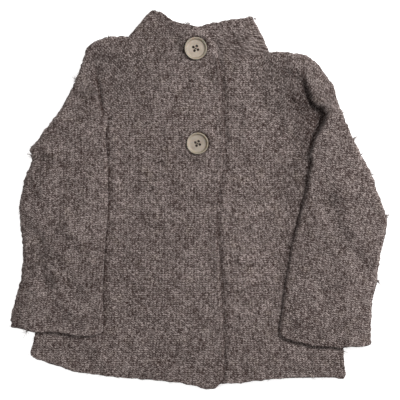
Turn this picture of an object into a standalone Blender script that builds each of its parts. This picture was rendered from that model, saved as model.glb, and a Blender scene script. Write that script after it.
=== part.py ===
"""A child's knitted raglan cardigan laid flat, face up, with its sleeves folded down over the body.

Sizes are in millimetres until a mesh is made. X runs to the garment's left side, Y to its neck, Z up
from the table it lies on. The layers from the table up are the back, the two fronts (the right one on
top at the centre), each sleeve's under layer and each sleeve's upper layer.
"""
import math

import bmesh
import bpy
import numpy as np

MM = 0.001
WALL = 2.6
GAP = 0.3
FRONT_FLOOR = WALL + GAP
FRONT_TOP = FRONT_FLOOR + WALL
OVER_FRONT = FRONT_TOP + GAP
LAYER = WALL + GAP
# Clear height inside a flattened sleeve, at most and at least
MAX_HOLLOW = 3.3
MIN_HOLLOW = 0.35
# Shift of the body's raglan edge from the sleeve's points, as shares of the gap across and down
SEAM_SHIFT = (1.4, -0.6)

# Body side, hem corner to underarm, then the hidden end of the armhole: columns x, y
RIGHT_SIDE = [(-173.3, -165.9), (-176.1, -160.1), (-171.7, -143.3), (-167.5, -105.5), (-161.2, -53.0),
              (-154.9, -0.5), (-149.6, 41.5), (-147.5, 61.4), (-120.2, 69.8), (-101.0, 76.1)]
LEFT_SIDE = [(151.7, -188.0), (153.8, -185.3), (152.2, -161.2), (151.7, -137.0), (151.2, -95.0),
             (150.2, -50.0), (149.1, 10.0), (148.6, 40.0), (134.0, 43.0), (123.5, 43.0)]
SIDE_UNDERARM = 7
SIDE_ROWS = 28
# Hem edges, from the side to the centre front: columns x, y
RIGHT_HEM = [(-173.3, -165.9), (-150.7, -173.3), (-128.6, -180.6), (-109.7, -183.2), (-87.7, -186.1),
             (-57.2, -188.5), (-23.6, -191.6), (-8.9, -194.0), (1.6, -196.8), (13.7, -198.8), (21.1, -195.5)]
LEFT_HEM = [(-8.0, -192.2), (12.0, -192.7), (43.6, -192.7), (55.1, -190.6), (76.1, -188.5), (104.5, -186.4),
            (136.0, -186.4), (151.7, -188.0)]
BACK_HEM = [(-173.3, -165.9), (-100.0, -182.0), (-20.0, -189.0), (60.0, -188.0), (151.7, -186.5)]
# Centre edge of the right front, hem to collar, which shows, and of the left front, which lies under
RIGHT_EDGE = [(21.1, -195.5), (25.7, -187.0), (26.9, -174.8), (26.8, -152.8), (25.7, -126.5), (22.6, -77.0),
              (20.8, -43.0), (19.4, -31.0), (19.0, -11.0), (19.6, -0.5), (22.6, 14.2), (26.6, 40.4),
              (27.8, 52.0), (27.8, 71.9), (24.7, 94.0), (24.7, 115.0), (23.7, 133.9), (20.5, 148.8)]
LEFT_EDGE = [(-8.0, -192.2), (-9.0, -100.0), (-9.5, 0.0), (-10.0, 100.0), (-10.5, 150.5)]
# Neck seam of the fronts, from the raglan seam to the centre edge
RIGHT_NECK = [(-53.0, 158.0), (-40.0, 153.5), (-18.0, 149.6), (4.0, 148.2), (20.5, 148.8)]
LEFT_NECK = [(-10.5, 150.5), (8.0, 147.0), (28.0, 146.0), (44.0, 147.6), (56.7, 149.6)]
# Sleeve stations, neck to cuff: columns outer x, outer y, inner x, inner y. The inner points follow the
# raglan seam down to the underarm, then the sleeve's own folded edge.
RIGHT_SLEEVE = [(-74.2, 171.3, -53.0, 158.0), (-84.5, 171.8, -55.3, 146.5), (-96.1, 170.2, -58.3, 136.0),
                (-107.9, 166.4, -62.0, 125.5), (-117.1, 158.8, -67.7, 115.0), (-121.5, 146.5, -75.1, 105.5),
                (-124.8, 136.0, -83.0, 96.1), (-130.3, 123.4, -89.8, 86.6), (-136.0, 110.8, -95.0, 79.3),
                (-143.0, 98.2, -97.1, 69.8), (-151.0, 85.6, -97.1, 60.4), (-161.6, 73.0, -96.1, 52.0),
                (-170.1, 60.4, -95.2, 43.6), (-176.8, 53.0, -94.8, 35.2), (-174.6, 43.6, -94.6, 26.8),
                (-176.7, 35.2, -94.6, 18.4), (-181.0, 26.8, -94.6, 12.6), (-183.6, 17.3, -94.5, 4.7),
                (-185.9, 5.8, -94.6, -5.8), (-188.1, -6.8, -95.2, -17.3), (-187.4, -21.5, -96.3, -29.9),
                (-185.7, -36.2, -97.5, -42.5), (-184.5, -50.9, -98.2, -54.1), (-184.0, -63.5, -98.8, -65.6),
                (-185.3, -76.1, -99.4, -78.2), (-187.4, -87.7, -99.9, -89.8), (-191.0, -99.2, -100.0, -102.4),
                (-193.9, -110.8, -99.6, -113.9), (-196.7, -122.3, -99.2, -126.5),
                (-197.0, -133.4, -100.3, -138.1)]
RIGHT_CUFF = [(-197.0, -133.4), (-188.0, -135.0), (-181.6, -136.0), (-171.0, -139.1), (-152.1, -138.5),
              (-128.1, -141.9), (-112.0, -142.6), (-100.3, -138.1)]
RIGHT_UNDERARM_ROW = 8
LEFT_SLEEVE = [(74.6, 154.5, 56.7, 149.6), (84.5, 155.3, 60.4, 137.0), (96.1, 154.5, 65.6, 124.4),
               (107.6, 153.2, 73.0, 115.0), (118.1, 148.2, 80.3, 105.5), (126.5, 140.7, 85.6, 97.1),
               (133.4, 130.3, 89.8, 87.7), (140.2, 122.3, 92.2, 77.2), (143.8, 111.8, 95.0, 65.6),
               (145.9, 102.4, 101.3, 57.2), (150.7, 91.9, 109.7, 49.9), (154.4, 82.4, 118.1, 42.5),
               (159.1, 71.9, 116.3, 31.0), (164.3, 60.4, 114.5, 19.4), (170.6, 46.7, 112.3, 8.9),
               (177.3, 35.2, 109.7, -0.5), (183.2, 22.6, 107.1, -12.1), (187.4, 8.9, 104.0, -24.7),
               (192.7, -3.7, 100.3, -37.3), (197.2, -17.3, 97.1, -49.9), (197.4, -31.0, 95.0, -63.5),
               (193.7, -46.7, 92.9, -76.1), (190.6, -60.4, 90.8, -88.7), (189.1, -74.0, 89.0, -101.3),
               (187.2, -87.7, 87.7, -113.9), (183.6, -101.3, 86.1, -124.4), (181.6, -116.0, 84.9, -131.8),
               (181.5, -134.0, 84.7, -137.6), (181.1, -152.8, 85.6, -141.2)]
LEFT_CUFF = [(181.1, -152.8), (170.0, -154.2), (152.8, -154.9), (136.0, -153.8), (119.2, -152.8),
             (106.1, -149.2), (92.9, -145.4), (85.6, -141.2)]
LEFT_UNDERARM_ROW = 11
# Crease where each sleeve's fold stands over its cap, shoulder to underarm: columns x, y, crest height
RIGHT_CREASE = [(-111.8, 157.0, 7.0), (-108.7, 141.2, 8.0), (-106.6, 127.6, 9.5), (-103.4, 109.7, 11.0),
                (-100.5, 91.9, 12.0)]
LEFT_CREASE = [(109.7, 146.5, 8.0), (113.0, 134.9, 11.0), (118.0, 112.9, 15.0), (122.4, 103.4, 16.5),
               (129.7, 98.2, 17.5), (133.2, 90.3, 17.8), (129.7, 79.3, 17.0), (124.4, 64.6, 15.5),
               (120.8, 53.0, 14.0)]
# Y values between which each crease fades in, going down from the shoulder
RIGHT_CREASE_FADE = (160.0, 100.0)
LEFT_CREASE_FADE = (150.0, 112.0)
# Collar: fold lines at its two sides, base then top, and the edges between them
COLLAR_RIGHT_FOLD = [(-74.2, 171.9), (-61.9, 185.0), (-54.5, 193.9), (-48.8, 198.6)]
COLLAR_LEFT_FOLD = [(75.2, 155.2), (70.9, 163.8), (65.0, 176.0), (56.2, 192.4)]
COLLAR_TOP_RIGHT = [(-48.8, 198.6), (-39.4, 195.8), (-32.0, 190.6), (-24.7, 186.9), (-11.0, 183.4),
                    (-3.0, 181.6)]
COLLAR_TOP_LEFT = [(-11.5, 183.2), (1.6, 181.9), (12.1, 184.5), (33.1, 188.5), (48.8, 190.4), (56.2, 192.4)]
COLLAR_TOP_BACK = [(-48.8, 197.0), (-32.0, 189.0), (-11.0, 181.5), (12.1, 182.5), (33.1, 186.8), (56.2, 191.0)]
COLLAR_RIGHT_EDGE = [(20.5, 149.2), (19.6, 157.0), (17.3, 163.0), (11.0, 170.5), (4.7, 176.6), (-3.0, 181.6)]
COLLAR_LEFT_EDGE = [(-10.5, 150.9), (-11.0, 167.0), (-11.5, 183.2)]
# Neck seam of the back, and the slope of the neck seam where each sleeve meets the collar
BACK_NECK = [(-53.0, 158.0), (-20.0, 160.6), (20.0, 157.2), (56.7, 149.6)]
BACK_NECK_POINTS = 60
RIGHT_NECK_SLOPE = -0.627
LEFT_NECK_SLOPE = 0.274
COLLAR_FOLD = 4.2
# Middle and half width of the strip where the two fronts lap flat over each other
LAP_CENTRE = 8.0
LAP_REACH = 27.0

# Largest soft folds: columns x0, y0, x1, y1, height, half width
BODY_FOLDS = [(38.0, -14.0, 70.0, -6.0, 1.3, 6.0), (34.0, -95.0, 80.0, -70.0, 1.6, 8.0),
              (36.0, -120.0, 84.0, -98.0, 1.3, 8.0), (-70.0, -30.0, -60.0, -110.0, 1.2, 16.0),
              (-60.0, 60.0, -40.0, 110.0, 1.2, 16.0), (52.0, 60.0, 48.0, 110.0, 1.4, 12.0),
              (-100.0, -171.0, -30.0, -181.0, 1.2, 8.0), (60.0, -170.0, 130.0, -172.0, 1.2, 9.0)]
SLEEVE_FOLDS = [(-160.0, 50.0, -145.0, 48.0, 2.0, 8.0), (-166.0, 42.0, -130.0, 27.0, -2.6, 4.5),
                (-138.0, -28.0, -124.0, -44.0, 2.0, 9.0), (-166.0, -42.0, -161.0, -90.0, -2.0, 8.0),
                (-148.0, -86.0, -150.0, -82.0, 1.8, 8.0), (128.0, 92.0, 134.0, 60.0, 2.0, 8.0),
                (148.0, 8.0, 170.0, 7.0, 2.0, 8.0), (135.0, -8.0, 174.0, -76.0, -2.2, 9.0),
                (133.0, -98.0, 153.0, -92.0, -2.0, 7.0), (112.0, -20.0, 100.0, -110.0, 1.0, 9.0),
                (-104.0, 30.0, -108.0, -110.0, 1.0, 9.0)]

# Ramp that lifts the right front and collar over the left ones: where it starts and its width
LAP_LIFT_START = -31.0
LAP_LIFT_WIDTH = 14.0
# Distance over which the folds of the fronts grow beside the lap
LAP_FOLD_EASE = 12.0

SLEEVE_FOLD_WIDTH = 4.4
SLEEVE_HEIGHT_OVER_BODY = 12.6
SLEEVE_HEIGHT_AT_EDGE = 7.8
# Distances over which a sleeve falls to its outer edge, steps up at its crease, and from the neck
SLEEVE_FALL = 42.0
CREASE_STEP = 6.0
SHOULDER_STEP = 34.0
SHOULDER_EASE = 26.0
CREST_REACH = 17.0
# A sleeve's under face is on the front up to this far outside it, less the ramp down to the table
FLOOR_REACH = 20.0
FLOOR_RAMP = 12.0
# How far the part of the body under a sleeve reaches in, as a share of the sleeve's inner x
COVERED_SHARE = 0.4
# Rows above the underarm over which the sleeve's inner edge closes
CLOSING_ROWS = 3.0
SLEEVE_COLUMNS = 12
SLEEVE_PLAN_COLUMNS = 25
ARC_STEPS = 4
# Rows and columns of the flat panels' and the collar's grids
HEM_COLUMNS_BACK = 17
HEM_COLUMNS_RIGHT = 21
HEM_COLUMNS_LEFT = 17
HIDDEN_ROWS = 3
COLLAR_ROWS = 7
COLLAR_COLUMNS_RIGHT = 18
COLLAR_COLUMNS_LEFT = 15
COLLAR_COLUMNS_BACK = 16
COLLAR_LIFT = 1.6 * GAP

BUTTON_RADIUS = 11.6
BUTTON_RIM = 3.0
BUTTON_HEIGHT = 3.4
BUTTON_DISH = 1.1
# Rounds of a button: its rim's outer top, the slope into the dish, and the underside's edge
BUTTON_ROUND = 0.8
BUTTON_ROUND_DROP = 1.0
BUTTON_SLOPE = 0.9
BUTTON_SLOPE_DROP = 0.25
BUTTON_FOOT_RISE = 1.2
BUTTON_FOOT_ROUND = 1.4
BUTTON_HOLE_RADIUS = 0.95
BUTTON_HOLE_OFFSET = 2.65
BUTTON_SIDES = 48
BUTTON_HOLE_SIDES = 14
# Buttons: columns name, x, y, turn of the holes in degrees
BUTTONS = [("button_top", -2.9, 158.3, 62.0), ("button_lower", -0.6, 59.4, 65.0)]

KNIT_COLOUR = (0.142, 0.114, 0.107, 1.0)
BUTTON_COLOUR = (0.58, 0.51, 0.39, 1.0)


def clear_scene():
    """Remove every object that is in the scene."""
    for item in list(bpy.data.objects):
        bpy.data.objects.remove(item, do_unlink=True)


def make_material(name, colour, roughness):
    """A Principled BSDF with one colour, roughness and no metal."""
    material = bpy.data.materials.new(name)
    material.use_nodes = True
    shader = material.node_tree.nodes["Principled BSDF"]
    shader.inputs["Base Color"].default_value = colour
    shader.inputs["Roughness"].default_value = roughness
    shader.inputs["Metallic"].default_value = 0.0
    material.diffuse_color = colour
    return material


def smooth_line(points, count):
    """Catmull-Rom curve through a table of points, sampled evenly along its length."""
    table = np.asarray(points, float)
    spans = len(table) - 1
    dense = curve_at(table, np.linspace(0.0, spans, spans * 12 + 1))
    return resample(dense, np.linspace(0.0, 1.0, count))


def curve_at(table, places):
    """Catmull-Rom values of a table at fractional row numbers; ends use a mirrored neighbour."""
    padded = np.vstack([2 * table[0] - table[1], table, 2 * table[-1] - table[-2]])
    row = np.clip(places.astype(int), 0, len(table) - 2)
    t = (places - row)[:, None]
    a, b, c, d = padded[row], padded[row + 1], padded[row + 2], padded[row + 3]
    return 0.5 * (2 * b + (c - a) * t + (2 * a - 5 * b + 4 * c - d) * t**2 + (3 * b - a - 3 * c + d) * t**3)


def resample(line, fractions):
    """Points of a polyline at fractions of its length."""
    steps = np.linalg.norm(np.diff(line, axis=0), axis=1)
    length = np.concatenate([[0.0], np.cumsum(steps)])
    want = np.asarray(fractions) * length[-1]
    return np.stack([np.interp(want, length, line[:, k]) for k in range(line.shape[1])], axis=1)


def soft_step(value):
    """Smooth ramp from 0 to 1 as the value goes from 0 to 1."""
    value = np.clip(value, 0.0, 1.0)
    return value * value * (3.0 - 2.0 * value)


def distance_to_line(points, line):
    """Shortest distance in plan from each point to a polyline."""
    best = np.full(points.shape[:-1], 1e9)
    for a, b in zip(line[:-1], line[1:]):
        span = b - a
        along = np.clip(((points - a) @ span) / max(span @ span, 1e-12), 0.0, 1.0)
        best = np.minimum(best, np.linalg.norm(points - a - along[..., None] * span, axis=-1))
    return best


def is_inside(points, loop):
    """True where a plan point lies inside a closed loop, by counting the edges that it is left of."""
    x, y = points[..., 0], points[..., 1]
    inside = np.zeros(x.shape, bool)
    for a, b in zip(loop, np.roll(loop, -1, axis=0)):
        crosses = (a[1] > y) != (b[1] > y)
        edge_x = a[0] + (y - a[1]) * (b[0] - a[0]) / (b[1] - a[1] if b[1] != a[1] else 1e-12)
        inside ^= crosses & (x < edge_x)
    return inside


def fold_height(points, folds):
    """Sum of the soft folds of a table: each is a bell across a short line, fading at its ends."""
    height = np.zeros(points.shape[:-1])
    for x0, y0, x1, y1, rise, width in folds:
        away = distance_to_line(points, np.array([(x0, y0), (x1, y1)]))
        height += rise * np.exp(-(away / width) ** 2)
    return height


def patch(low, high, start, end):
    """Plan grid between four edge curves: rows run from start to end, columns from low to high.

    Each point is the sum of the two ruled surfaces less the one through the four corners.
    """
    rows, columns = len(low), len(start)
    v = np.linspace(0.0, 1.0, rows)[:, None, None]
    u = np.linspace(0.0, 1.0, columns)[None, :, None]
    across = (1 - u) * low[:, None] + u * high[:, None]
    along = (1 - v) * start[None] + v * end[None]
    corners = (1 - v) * ((1 - u) * start[0] + u * start[-1]) + v * ((1 - u) * end[0] + u * end[-1])
    return across + along - corners


def build_solid(name, outer, inner, material, welded_rows=()):
    """One closed mesh from an outer and an inner grid of points, joined along their free edges.

    In a welded row the first and the last column are one point, so its strip is left out there.
    """
    rows, columns = outer.shape[:2]
    bm = bmesh.new()
    grids = []
    for grid in (outer, inner):
        grids.append([[bm.verts.new(grid[r, c] * MM) for c in range(columns)] for r in range(rows)])
    top, low = grids
    welded = set(welded_rows)
    for r in range(rows - 1):
        for c in range(columns - 1):
            bm.faces.new((top[r][c], top[r][c + 1], top[r + 1][c + 1], top[r + 1][c]))
            bm.faces.new((low[r][c], low[r + 1][c], low[r + 1][c + 1], low[r][c + 1]))
        if not {r, r + 1} <= welded:
            bm.faces.new((top[r][0], top[r + 1][0], low[r + 1][0], low[r][0]))
            bm.faces.new((top[r][-1], low[r][-1], low[r + 1][-1], top[r + 1][-1]))
    for c in range(columns - 1):
        bm.faces.new((top[0][c], low[0][c], low[0][c + 1], top[0][c + 1]))
        bm.faces.new((top[-1][c], top[-1][c + 1], low[-1][c + 1], low[-1][c]))
    bmesh.ops.remove_doubles(bm, verts=bm.verts, dist=1e-6)
    bmesh.ops.recalc_face_normals(bm, faces=bm.faces)
    mesh = bpy.data.meshes.new(name)
    bm.to_mesh(mesh)
    bm.free()
    mesh.polygons.foreach_set("use_smooth", [True] * len(mesh.polygons))
    mesh.materials.append(material)
    item = bpy.data.objects.new(name, mesh)
    bpy.context.scene.collection.objects.link(item)
    return item


def side_line(side, sleeve_inner, underarm_row, gap_side):
    """Side edge of a body panel: hem corner, side, underarm, hidden armhole, then the raglan seam.

    The raglan part repeats the sleeve's inner points, moved a seam's gap toward the body.
    """
    shift = np.array([gap_side * SEAM_SHIFT[0], SEAM_SHIFT[1]]) * GAP
    seam = sleeve_inner[:underarm_row + 1][::-1] + shift
    hidden = smooth_line(side[SIDE_UNDERARM:] + [tuple(seam[0])], HIDDEN_ROWS + 2)[1:-1]
    lower = smooth_line(side[:SIDE_UNDERARM + 1], SIDE_ROWS - len(hidden) - len(seam))
    return np.vstack([lower, hidden, seam])


def at_heights(line, heights):
    """Points of an edge curve at given y values."""
    order = np.argsort(line[:, 1])
    return np.stack([np.interp(heights, line[order, 1], line[order, 0]), heights], axis=1)


def matched_edge(table, side, neck_y):
    """Centre edge sampled in step with a side line, as shares of the height from hem to neck."""
    line = smooth_line(table, 160)
    share = (side[:, 1] - side[0, 1]) / (side[-1, 1] - side[0, 1])
    share = np.maximum.accumulate(share + np.linspace(0.0, 1e-4, len(share)))
    share = (share - share[0]) / (share[-1] - share[0])
    return at_heights(line, line[0, 1] + share * (neck_y - line[0, 1]))


def sleeve_stations(table):
    """Outer and inner plan points of a sleeve, one pair per station."""
    values = np.asarray(table, float)
    return values[:, :2], values[:, 2:]


def build_back(right_side, left_side, material):
    """The back panel, flat on the table, its hem just inside the fronts' hem."""
    left, right = left_side.copy(), right_side.copy()
    hem = smooth_line(BACK_HEM, HEM_COLUMNS_BACK)
    right[0], left[0] = hem[0], hem[-1]
    neck = smooth_line([tuple(right[-1])] + BACK_NECK[1:-1] + [tuple(left[-1])], HEM_COLUMNS_BACK)
    plan = patch(right, left, hem, neck)
    floor = np.zeros(plan.shape[:2])
    outer = np.dstack([plan, floor])
    inner = np.dstack([plan, floor + WALL])
    return build_solid("back", outer, inner, material)


def front_height(plan, over):
    """Underside height of a front: over the back, with folds beside the lap, raised where it laps over."""
    beside_lap = soft_step((np.abs(plan[..., 0] - LAP_CENTRE) - LAP_REACH) / LAP_FOLD_EASE)
    height = FRONT_FLOOR + fold_height(plan, BODY_FOLDS) * beside_lap
    if over:
        height = height + lap_lift(plan)
    return height


def lap_lift(plan):
    """Rise of the upper layer of the lap, from the front's own level to one layer above it."""
    return LAYER * soft_step((plan[..., 0] - LAP_LIFT_START) / LAP_LIFT_WIDTH)


def build_fronts(right_side, left_side, material):
    """The two front panels: the right one laps over the left one at the centre."""
    edge = matched_edge(RIGHT_EDGE, right_side, RIGHT_NECK[-1][1])
    hem = smooth_line(RIGHT_HEM, HEM_COLUMNS_RIGHT)
    neck = smooth_line([tuple(right_side[-1])] + RIGHT_NECK[1:], HEM_COLUMNS_RIGHT)
    side = right_side.copy()
    hem[0], hem[-1], neck[0], neck[-1] = side[0], edge[0], side[-1], edge[-1]
    plan = patch(side, edge, hem, neck)
    low = front_height(plan, True)
    build_solid("front_right", np.dstack([plan, low + WALL]), np.dstack([plan, low]), material)

    edge = matched_edge(LEFT_EDGE, left_side, LEFT_NECK[0][1])
    hem = smooth_line(LEFT_HEM, HEM_COLUMNS_LEFT)
    neck = smooth_line(LEFT_NECK[:-1] + [tuple(left_side[-1])], HEM_COLUMNS_LEFT)
    side = left_side.copy()
    hem[0], hem[-1], neck[0], neck[-1] = edge[0], side[0], edge[-1], side[-1]
    plan = patch(edge, side, hem, neck)
    low = front_height(plan, False)
    build_solid("front_left", np.dstack([plan, low + WALL]), np.dstack([plan, low]), material)


def row_point(plan_row, distance):
    """Plan points of one row at distances from its first point, along the row."""
    steps = np.linalg.norm(np.diff(plan_row, axis=0), axis=1)
    length = np.concatenate([[0.0], np.cumsum(steps)])
    return np.stack([np.interp(distance, length, plan_row[:, k]) for k in range(2)], axis=1)


def distance_outside(plan, covered):
    """Distance outside the part of the body that a sleeve lies over, zero on it."""
    away = distance_to_line(plan, np.vstack([covered, covered[:1]]))
    return np.where(is_inside(plan, covered), 0.0, away)


def sleeve_top_height(plan, shape):
    """Height of a sleeve's upper face.

    It is level with the front beside the raglan seam and the neck, steps up to a crest at the crease,
    and falls to the outer edge, with the sleeve's folds added.
    """
    crease = shape["crease"]
    rise = SLEEVE_HEIGHT_OVER_BODY - SLEEVE_HEIGHT_AT_EDGE
    share = soft_step(1.0 - distance_outside(plan, shape["covered"]) / SLEEVE_FALL)
    high = SLEEVE_HEIGHT_AT_EDGE + rise * share + fold_height(plan, SLEEVE_FOLDS)
    near = distance_to_line(plan, crease[:, :2])
    crease_x = np.interp(plan[..., 1], crease[::-1, 1], crease[::-1, 0])
    crest = np.interp(plan[..., 1], crease[::-1, 1], crease[::-1, 2])
    beyond = np.where(np.abs(plan[..., 0]) >= np.abs(crease_x), near, -near)
    fall = np.exp(-(np.maximum(beyond, 0.0) / CREST_REACH) ** 2)
    high = high + np.maximum(crest - high, 0.0) * fall
    start_y, full_y = shape["crease_fade"]
    fade = soft_step((start_y - plan[..., 1]) / (start_y - full_y))
    step = soft_step(1.0 + beyond / (CREASE_STEP + SHOULDER_STEP * (1.0 - fade)))
    from_neck = soft_step(distance_to_line(plan, shape["neck"]) / SHOULDER_EASE)
    return FRONT_TOP + (high - FRONT_TOP) * step * from_neck


def sleeve_floor_height(plan, shape):
    """Height of a sleeve's under face: on the table outside the body, over the front on it."""
    return OVER_FRONT * soft_step((FLOOR_REACH - distance_outside(plan, shape["covered"])) / FLOOR_RAMP)


def wall_faces(plan, shape, inset):
    """Under and upper heights of a flattened sleeve at plan points, outside or, inset, inside its wall."""
    low = sleeve_floor_height(plan, shape)
    top = np.maximum(sleeve_top_height(plan, shape), low + 2 * WALL + MIN_HOLLOW)
    if not inset:
        return low, top
    hollow = np.clip(top - low - 2 * WALL, MIN_HOLLOW, MAX_HOLLOW)
    return low + WALL, low + WALL + hollow


def sleeve_ring(line, closed, inset, shape):
    """Points of one ring: inner end, upper layer, folded outer edge, under layer, inner end.

    Each folded edge is a half ellipse as high as the layers beside it. Where the ring isn't closed
    its inner end is flat and reaches the raglan seam.
    """
    width = np.linalg.norm(np.diff(line, axis=0), axis=1).sum()
    fold = SLEEVE_FOLD_WIDTH
    reach = fold - inset
    flat = np.linspace(width - fold, fold, SLEEVE_COLUMNS)
    quarter = np.linspace(0.0, 1.0, ARC_STEPS + 1)[1:]
    half = np.linspace(0.0, 1.0, 2 * ARC_STEPS + 1)[1:-1]
    inner_low, inner_top = wall_faces(row_point(line, np.array([width - fold])), shape, inset)
    centre, tall = 0.5 * (inner_low + inner_top), 0.5 * (inner_top - inner_low)
    round_place = width - fold + reach * np.sin(0.5 * math.pi * quarter)
    flat_place = width - fold + fold * quarter
    end_low, end_top = wall_faces(row_point(line, flat_place), shape, inset)
    place = closed * round_place + (1.0 - closed) * flat_place
    rise = tall * np.cos(0.5 * math.pi * quarter)
    top_height = closed * (centre + rise) + (1.0 - closed) * end_top
    low_height = closed * (centre - rise) + (1.0 - closed) * end_low
    flat_low, flat_top = wall_faces(row_point(line, flat), shape, inset)
    outer_low, outer_top = wall_faces(row_point(line, np.array([fold])), shape, inset)
    outer_place = fold - reach * np.sin(math.pi * half)
    outer_height = 0.5 * (outer_low + outer_top) + 0.5 * (outer_top - outer_low) * np.cos(math.pi * half)
    places = np.concatenate([place[::-1], flat, outer_place, flat[::-1], place])
    heights = np.concatenate([top_height[::-1], flat_top, outer_height, flat_low[::-1], low_height])
    return np.column_stack([row_point(line, places), heights])


def build_sleeve(name, table, cuff, underarm_row, body_side, crease, crease_fade, material):
    """A flattened sleeve tube: upper layer, folded outer edge, under layer, folded inner edge.

    Above the underarm the inner edge is open: the upper layer ends at the front's raglan edge and
    the under layer at the back's.
    """
    outer_line, inner_line = sleeve_stations(table)
    neck_ends = np.vstack([outer_line[0], inner_line[0]])
    neck = resample(neck_ends, np.linspace(0, 1, SLEEVE_PLAN_COLUMNS))
    plan = patch(outer_line, inner_line, neck, smooth_line(cuff, SLEEVE_PLAN_COLUMNS))
    hidden_rows = SIDE_ROWS - underarm_row - 1
    seam_up = inner_line[underarm_row - 2]
    covered = np.vstack([body_side[:hidden_rows], seam_up, inner_line[underarm_row:] * [COVERED_SHARE, 1.0]])
    below = len(table) - underarm_row
    crests = np.linspace(crease[-1][2], SLEEVE_HEIGHT_OVER_BODY, below)
    crease_line = np.vstack([crease, np.column_stack([inner_line[underarm_row:], crests])])
    shape = {"covered": covered, "crease": crease_line, "neck": neck_ends, "crease_fade": crease_fade}
    outer, inner = [], []
    for r, line in enumerate(plan):
        closed = np.clip((r - underarm_row + CLOSING_ROWS) / CLOSING_ROWS, 0.0, 1.0)
        outer.append(sleeve_ring(line, closed, 0.0, shape))
        inner.append(sleeve_ring(line, closed, WALL, shape))
    outer, inner = np.array(outer), np.array(inner)
    closed_rows = range(underarm_row, len(table))
    for grid in (outer, inner):
        grid[underarm_row:, -1] = grid[underarm_row:, 0]
    return build_solid(name, outer, inner, material, closed_rows)


def build_collar(material):
    """The collar band: right front end on top, right fold, back, left fold, left end under it."""
    rows = COLLAR_ROWS
    right_fold = smooth_line(COLLAR_RIGHT_FOLD, rows)
    left_fold = smooth_line(COLLAR_LEFT_FOLD, rows)
    down = np.linspace(1.0, 0.0, rows)
    right_in = COLLAR_FOLD * np.column_stack([np.ones(rows), RIGHT_NECK_SLOPE * down])
    left_in = -COLLAR_FOLD * np.column_stack([np.ones(rows), LEFT_NECK_SLOPE * down])
    lift = np.array([0.0, COLLAR_LIFT])
    base_right = smooth_line([COLLAR_RIGHT_FOLD[0]] + RIGHT_NECK, COLLAR_COLUMNS_RIGHT) + lift
    base_left = smooth_line(LEFT_NECK + [COLLAR_LEFT_FOLD[0]], COLLAR_COLUMNS_LEFT) + lift
    back_line = np.vstack([COLLAR_RIGHT_FOLD[0], smooth_line(BACK_NECK, BACK_NECK_POINTS), COLLAR_LEFT_FOLD[0]])
    base_back = resample(back_line, np.linspace(0.0, 1.0, COLLAR_COLUMNS_BACK)) + lift
    front_right = collar_patch(right_fold + right_in, smooth_line(COLLAR_RIGHT_EDGE, rows), base_right,
                               smooth_line(COLLAR_TOP_RIGHT, COLLAR_COLUMNS_RIGHT))
    front_left = collar_patch(smooth_line(COLLAR_LEFT_EDGE, rows), left_fold + left_in, base_left,
                              smooth_line(COLLAR_TOP_LEFT, COLLAR_COLUMNS_LEFT))
    back = collar_patch(right_fold + right_in, left_fold + left_in, base_back,
                        smooth_line(COLLAR_TOP_BACK, COLLAR_COLUMNS_BACK))
    low_right = FRONT_FLOOR + lap_lift(front_right)
    low_left = np.full(front_left.shape[:2], FRONT_FLOOR)
    flat = np.zeros(back.shape[:2])
    arc = np.linspace(0.0, math.pi, 2 * ARC_STEPS + 1)[1:-1]

    def bend(edge, side, slope, inset):
        """Arc columns of a side fold, from the upper layer down to the back layer."""
        half = 0.5 * FRONT_TOP - inset
        across = side * ((COLLAR_FOLD - inset) * np.sin(arc) - COLLAR_FOLD)
        x = edge[:, :1] + across
        y = edge[:, 1:] + across * slope * down[:, None]
        z = np.broadcast_to(0.5 * FRONT_TOP + half * np.cos(arc), x.shape)
        return np.dstack([x, y, z])

    def band(right_height, back_height, left_height, inset):
        """One face of the whole band: right end, right fold, back, left fold, left end."""
        right_bend = bend(right_fold, -1.0, RIGHT_NECK_SLOPE, inset)
        left_bend = bend(left_fold, 1.0, LEFT_NECK_SLOPE, inset)
        return np.concatenate([np.dstack([front_right, right_height])[:, ::-1], right_bend,
                               np.dstack([back, back_height]), left_bend[:, ::-1],
                               np.dstack([front_left, left_height])[:, ::-1]], axis=1)

    outer = band(low_right + WALL, flat, low_left + WALL, 0.0)
    inner = band(low_right, flat + WALL, low_left, WALL)
    return build_solid("collar", outer, inner, material)


def collar_patch(low, high, base, top):
    """Plan grid of one collar layer between its two end curves, base and top."""
    base, top = base.copy(), top.copy()
    base[0], base[-1], top[0], top[-1] = low[0], high[0], low[-1], high[-1]
    return patch(low, high, base, top)


def button_profile():
    """Half section of a button as radius and height pairs, from the top's centre to the underside's."""
    inner = BUTTON_RADIUS - BUTTON_RIM
    top = BUTTON_HEIGHT
    dish = BUTTON_HEIGHT - BUTTON_DISH
    return [(0.0, dish), (inner - BUTTON_SLOPE, dish), (inner, top - BUTTON_SLOPE_DROP),
            (inner + BUTTON_SLOPE, top), (BUTTON_RADIUS - BUTTON_ROUND, top),
            (BUTTON_RADIUS, top - BUTTON_ROUND_DROP), (BUTTON_RADIUS, BUTTON_FOOT_RISE),
            (BUTTON_RADIUS - BUTTON_FOOT_ROUND, 0.0), (0.0, 0.0)]


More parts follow.
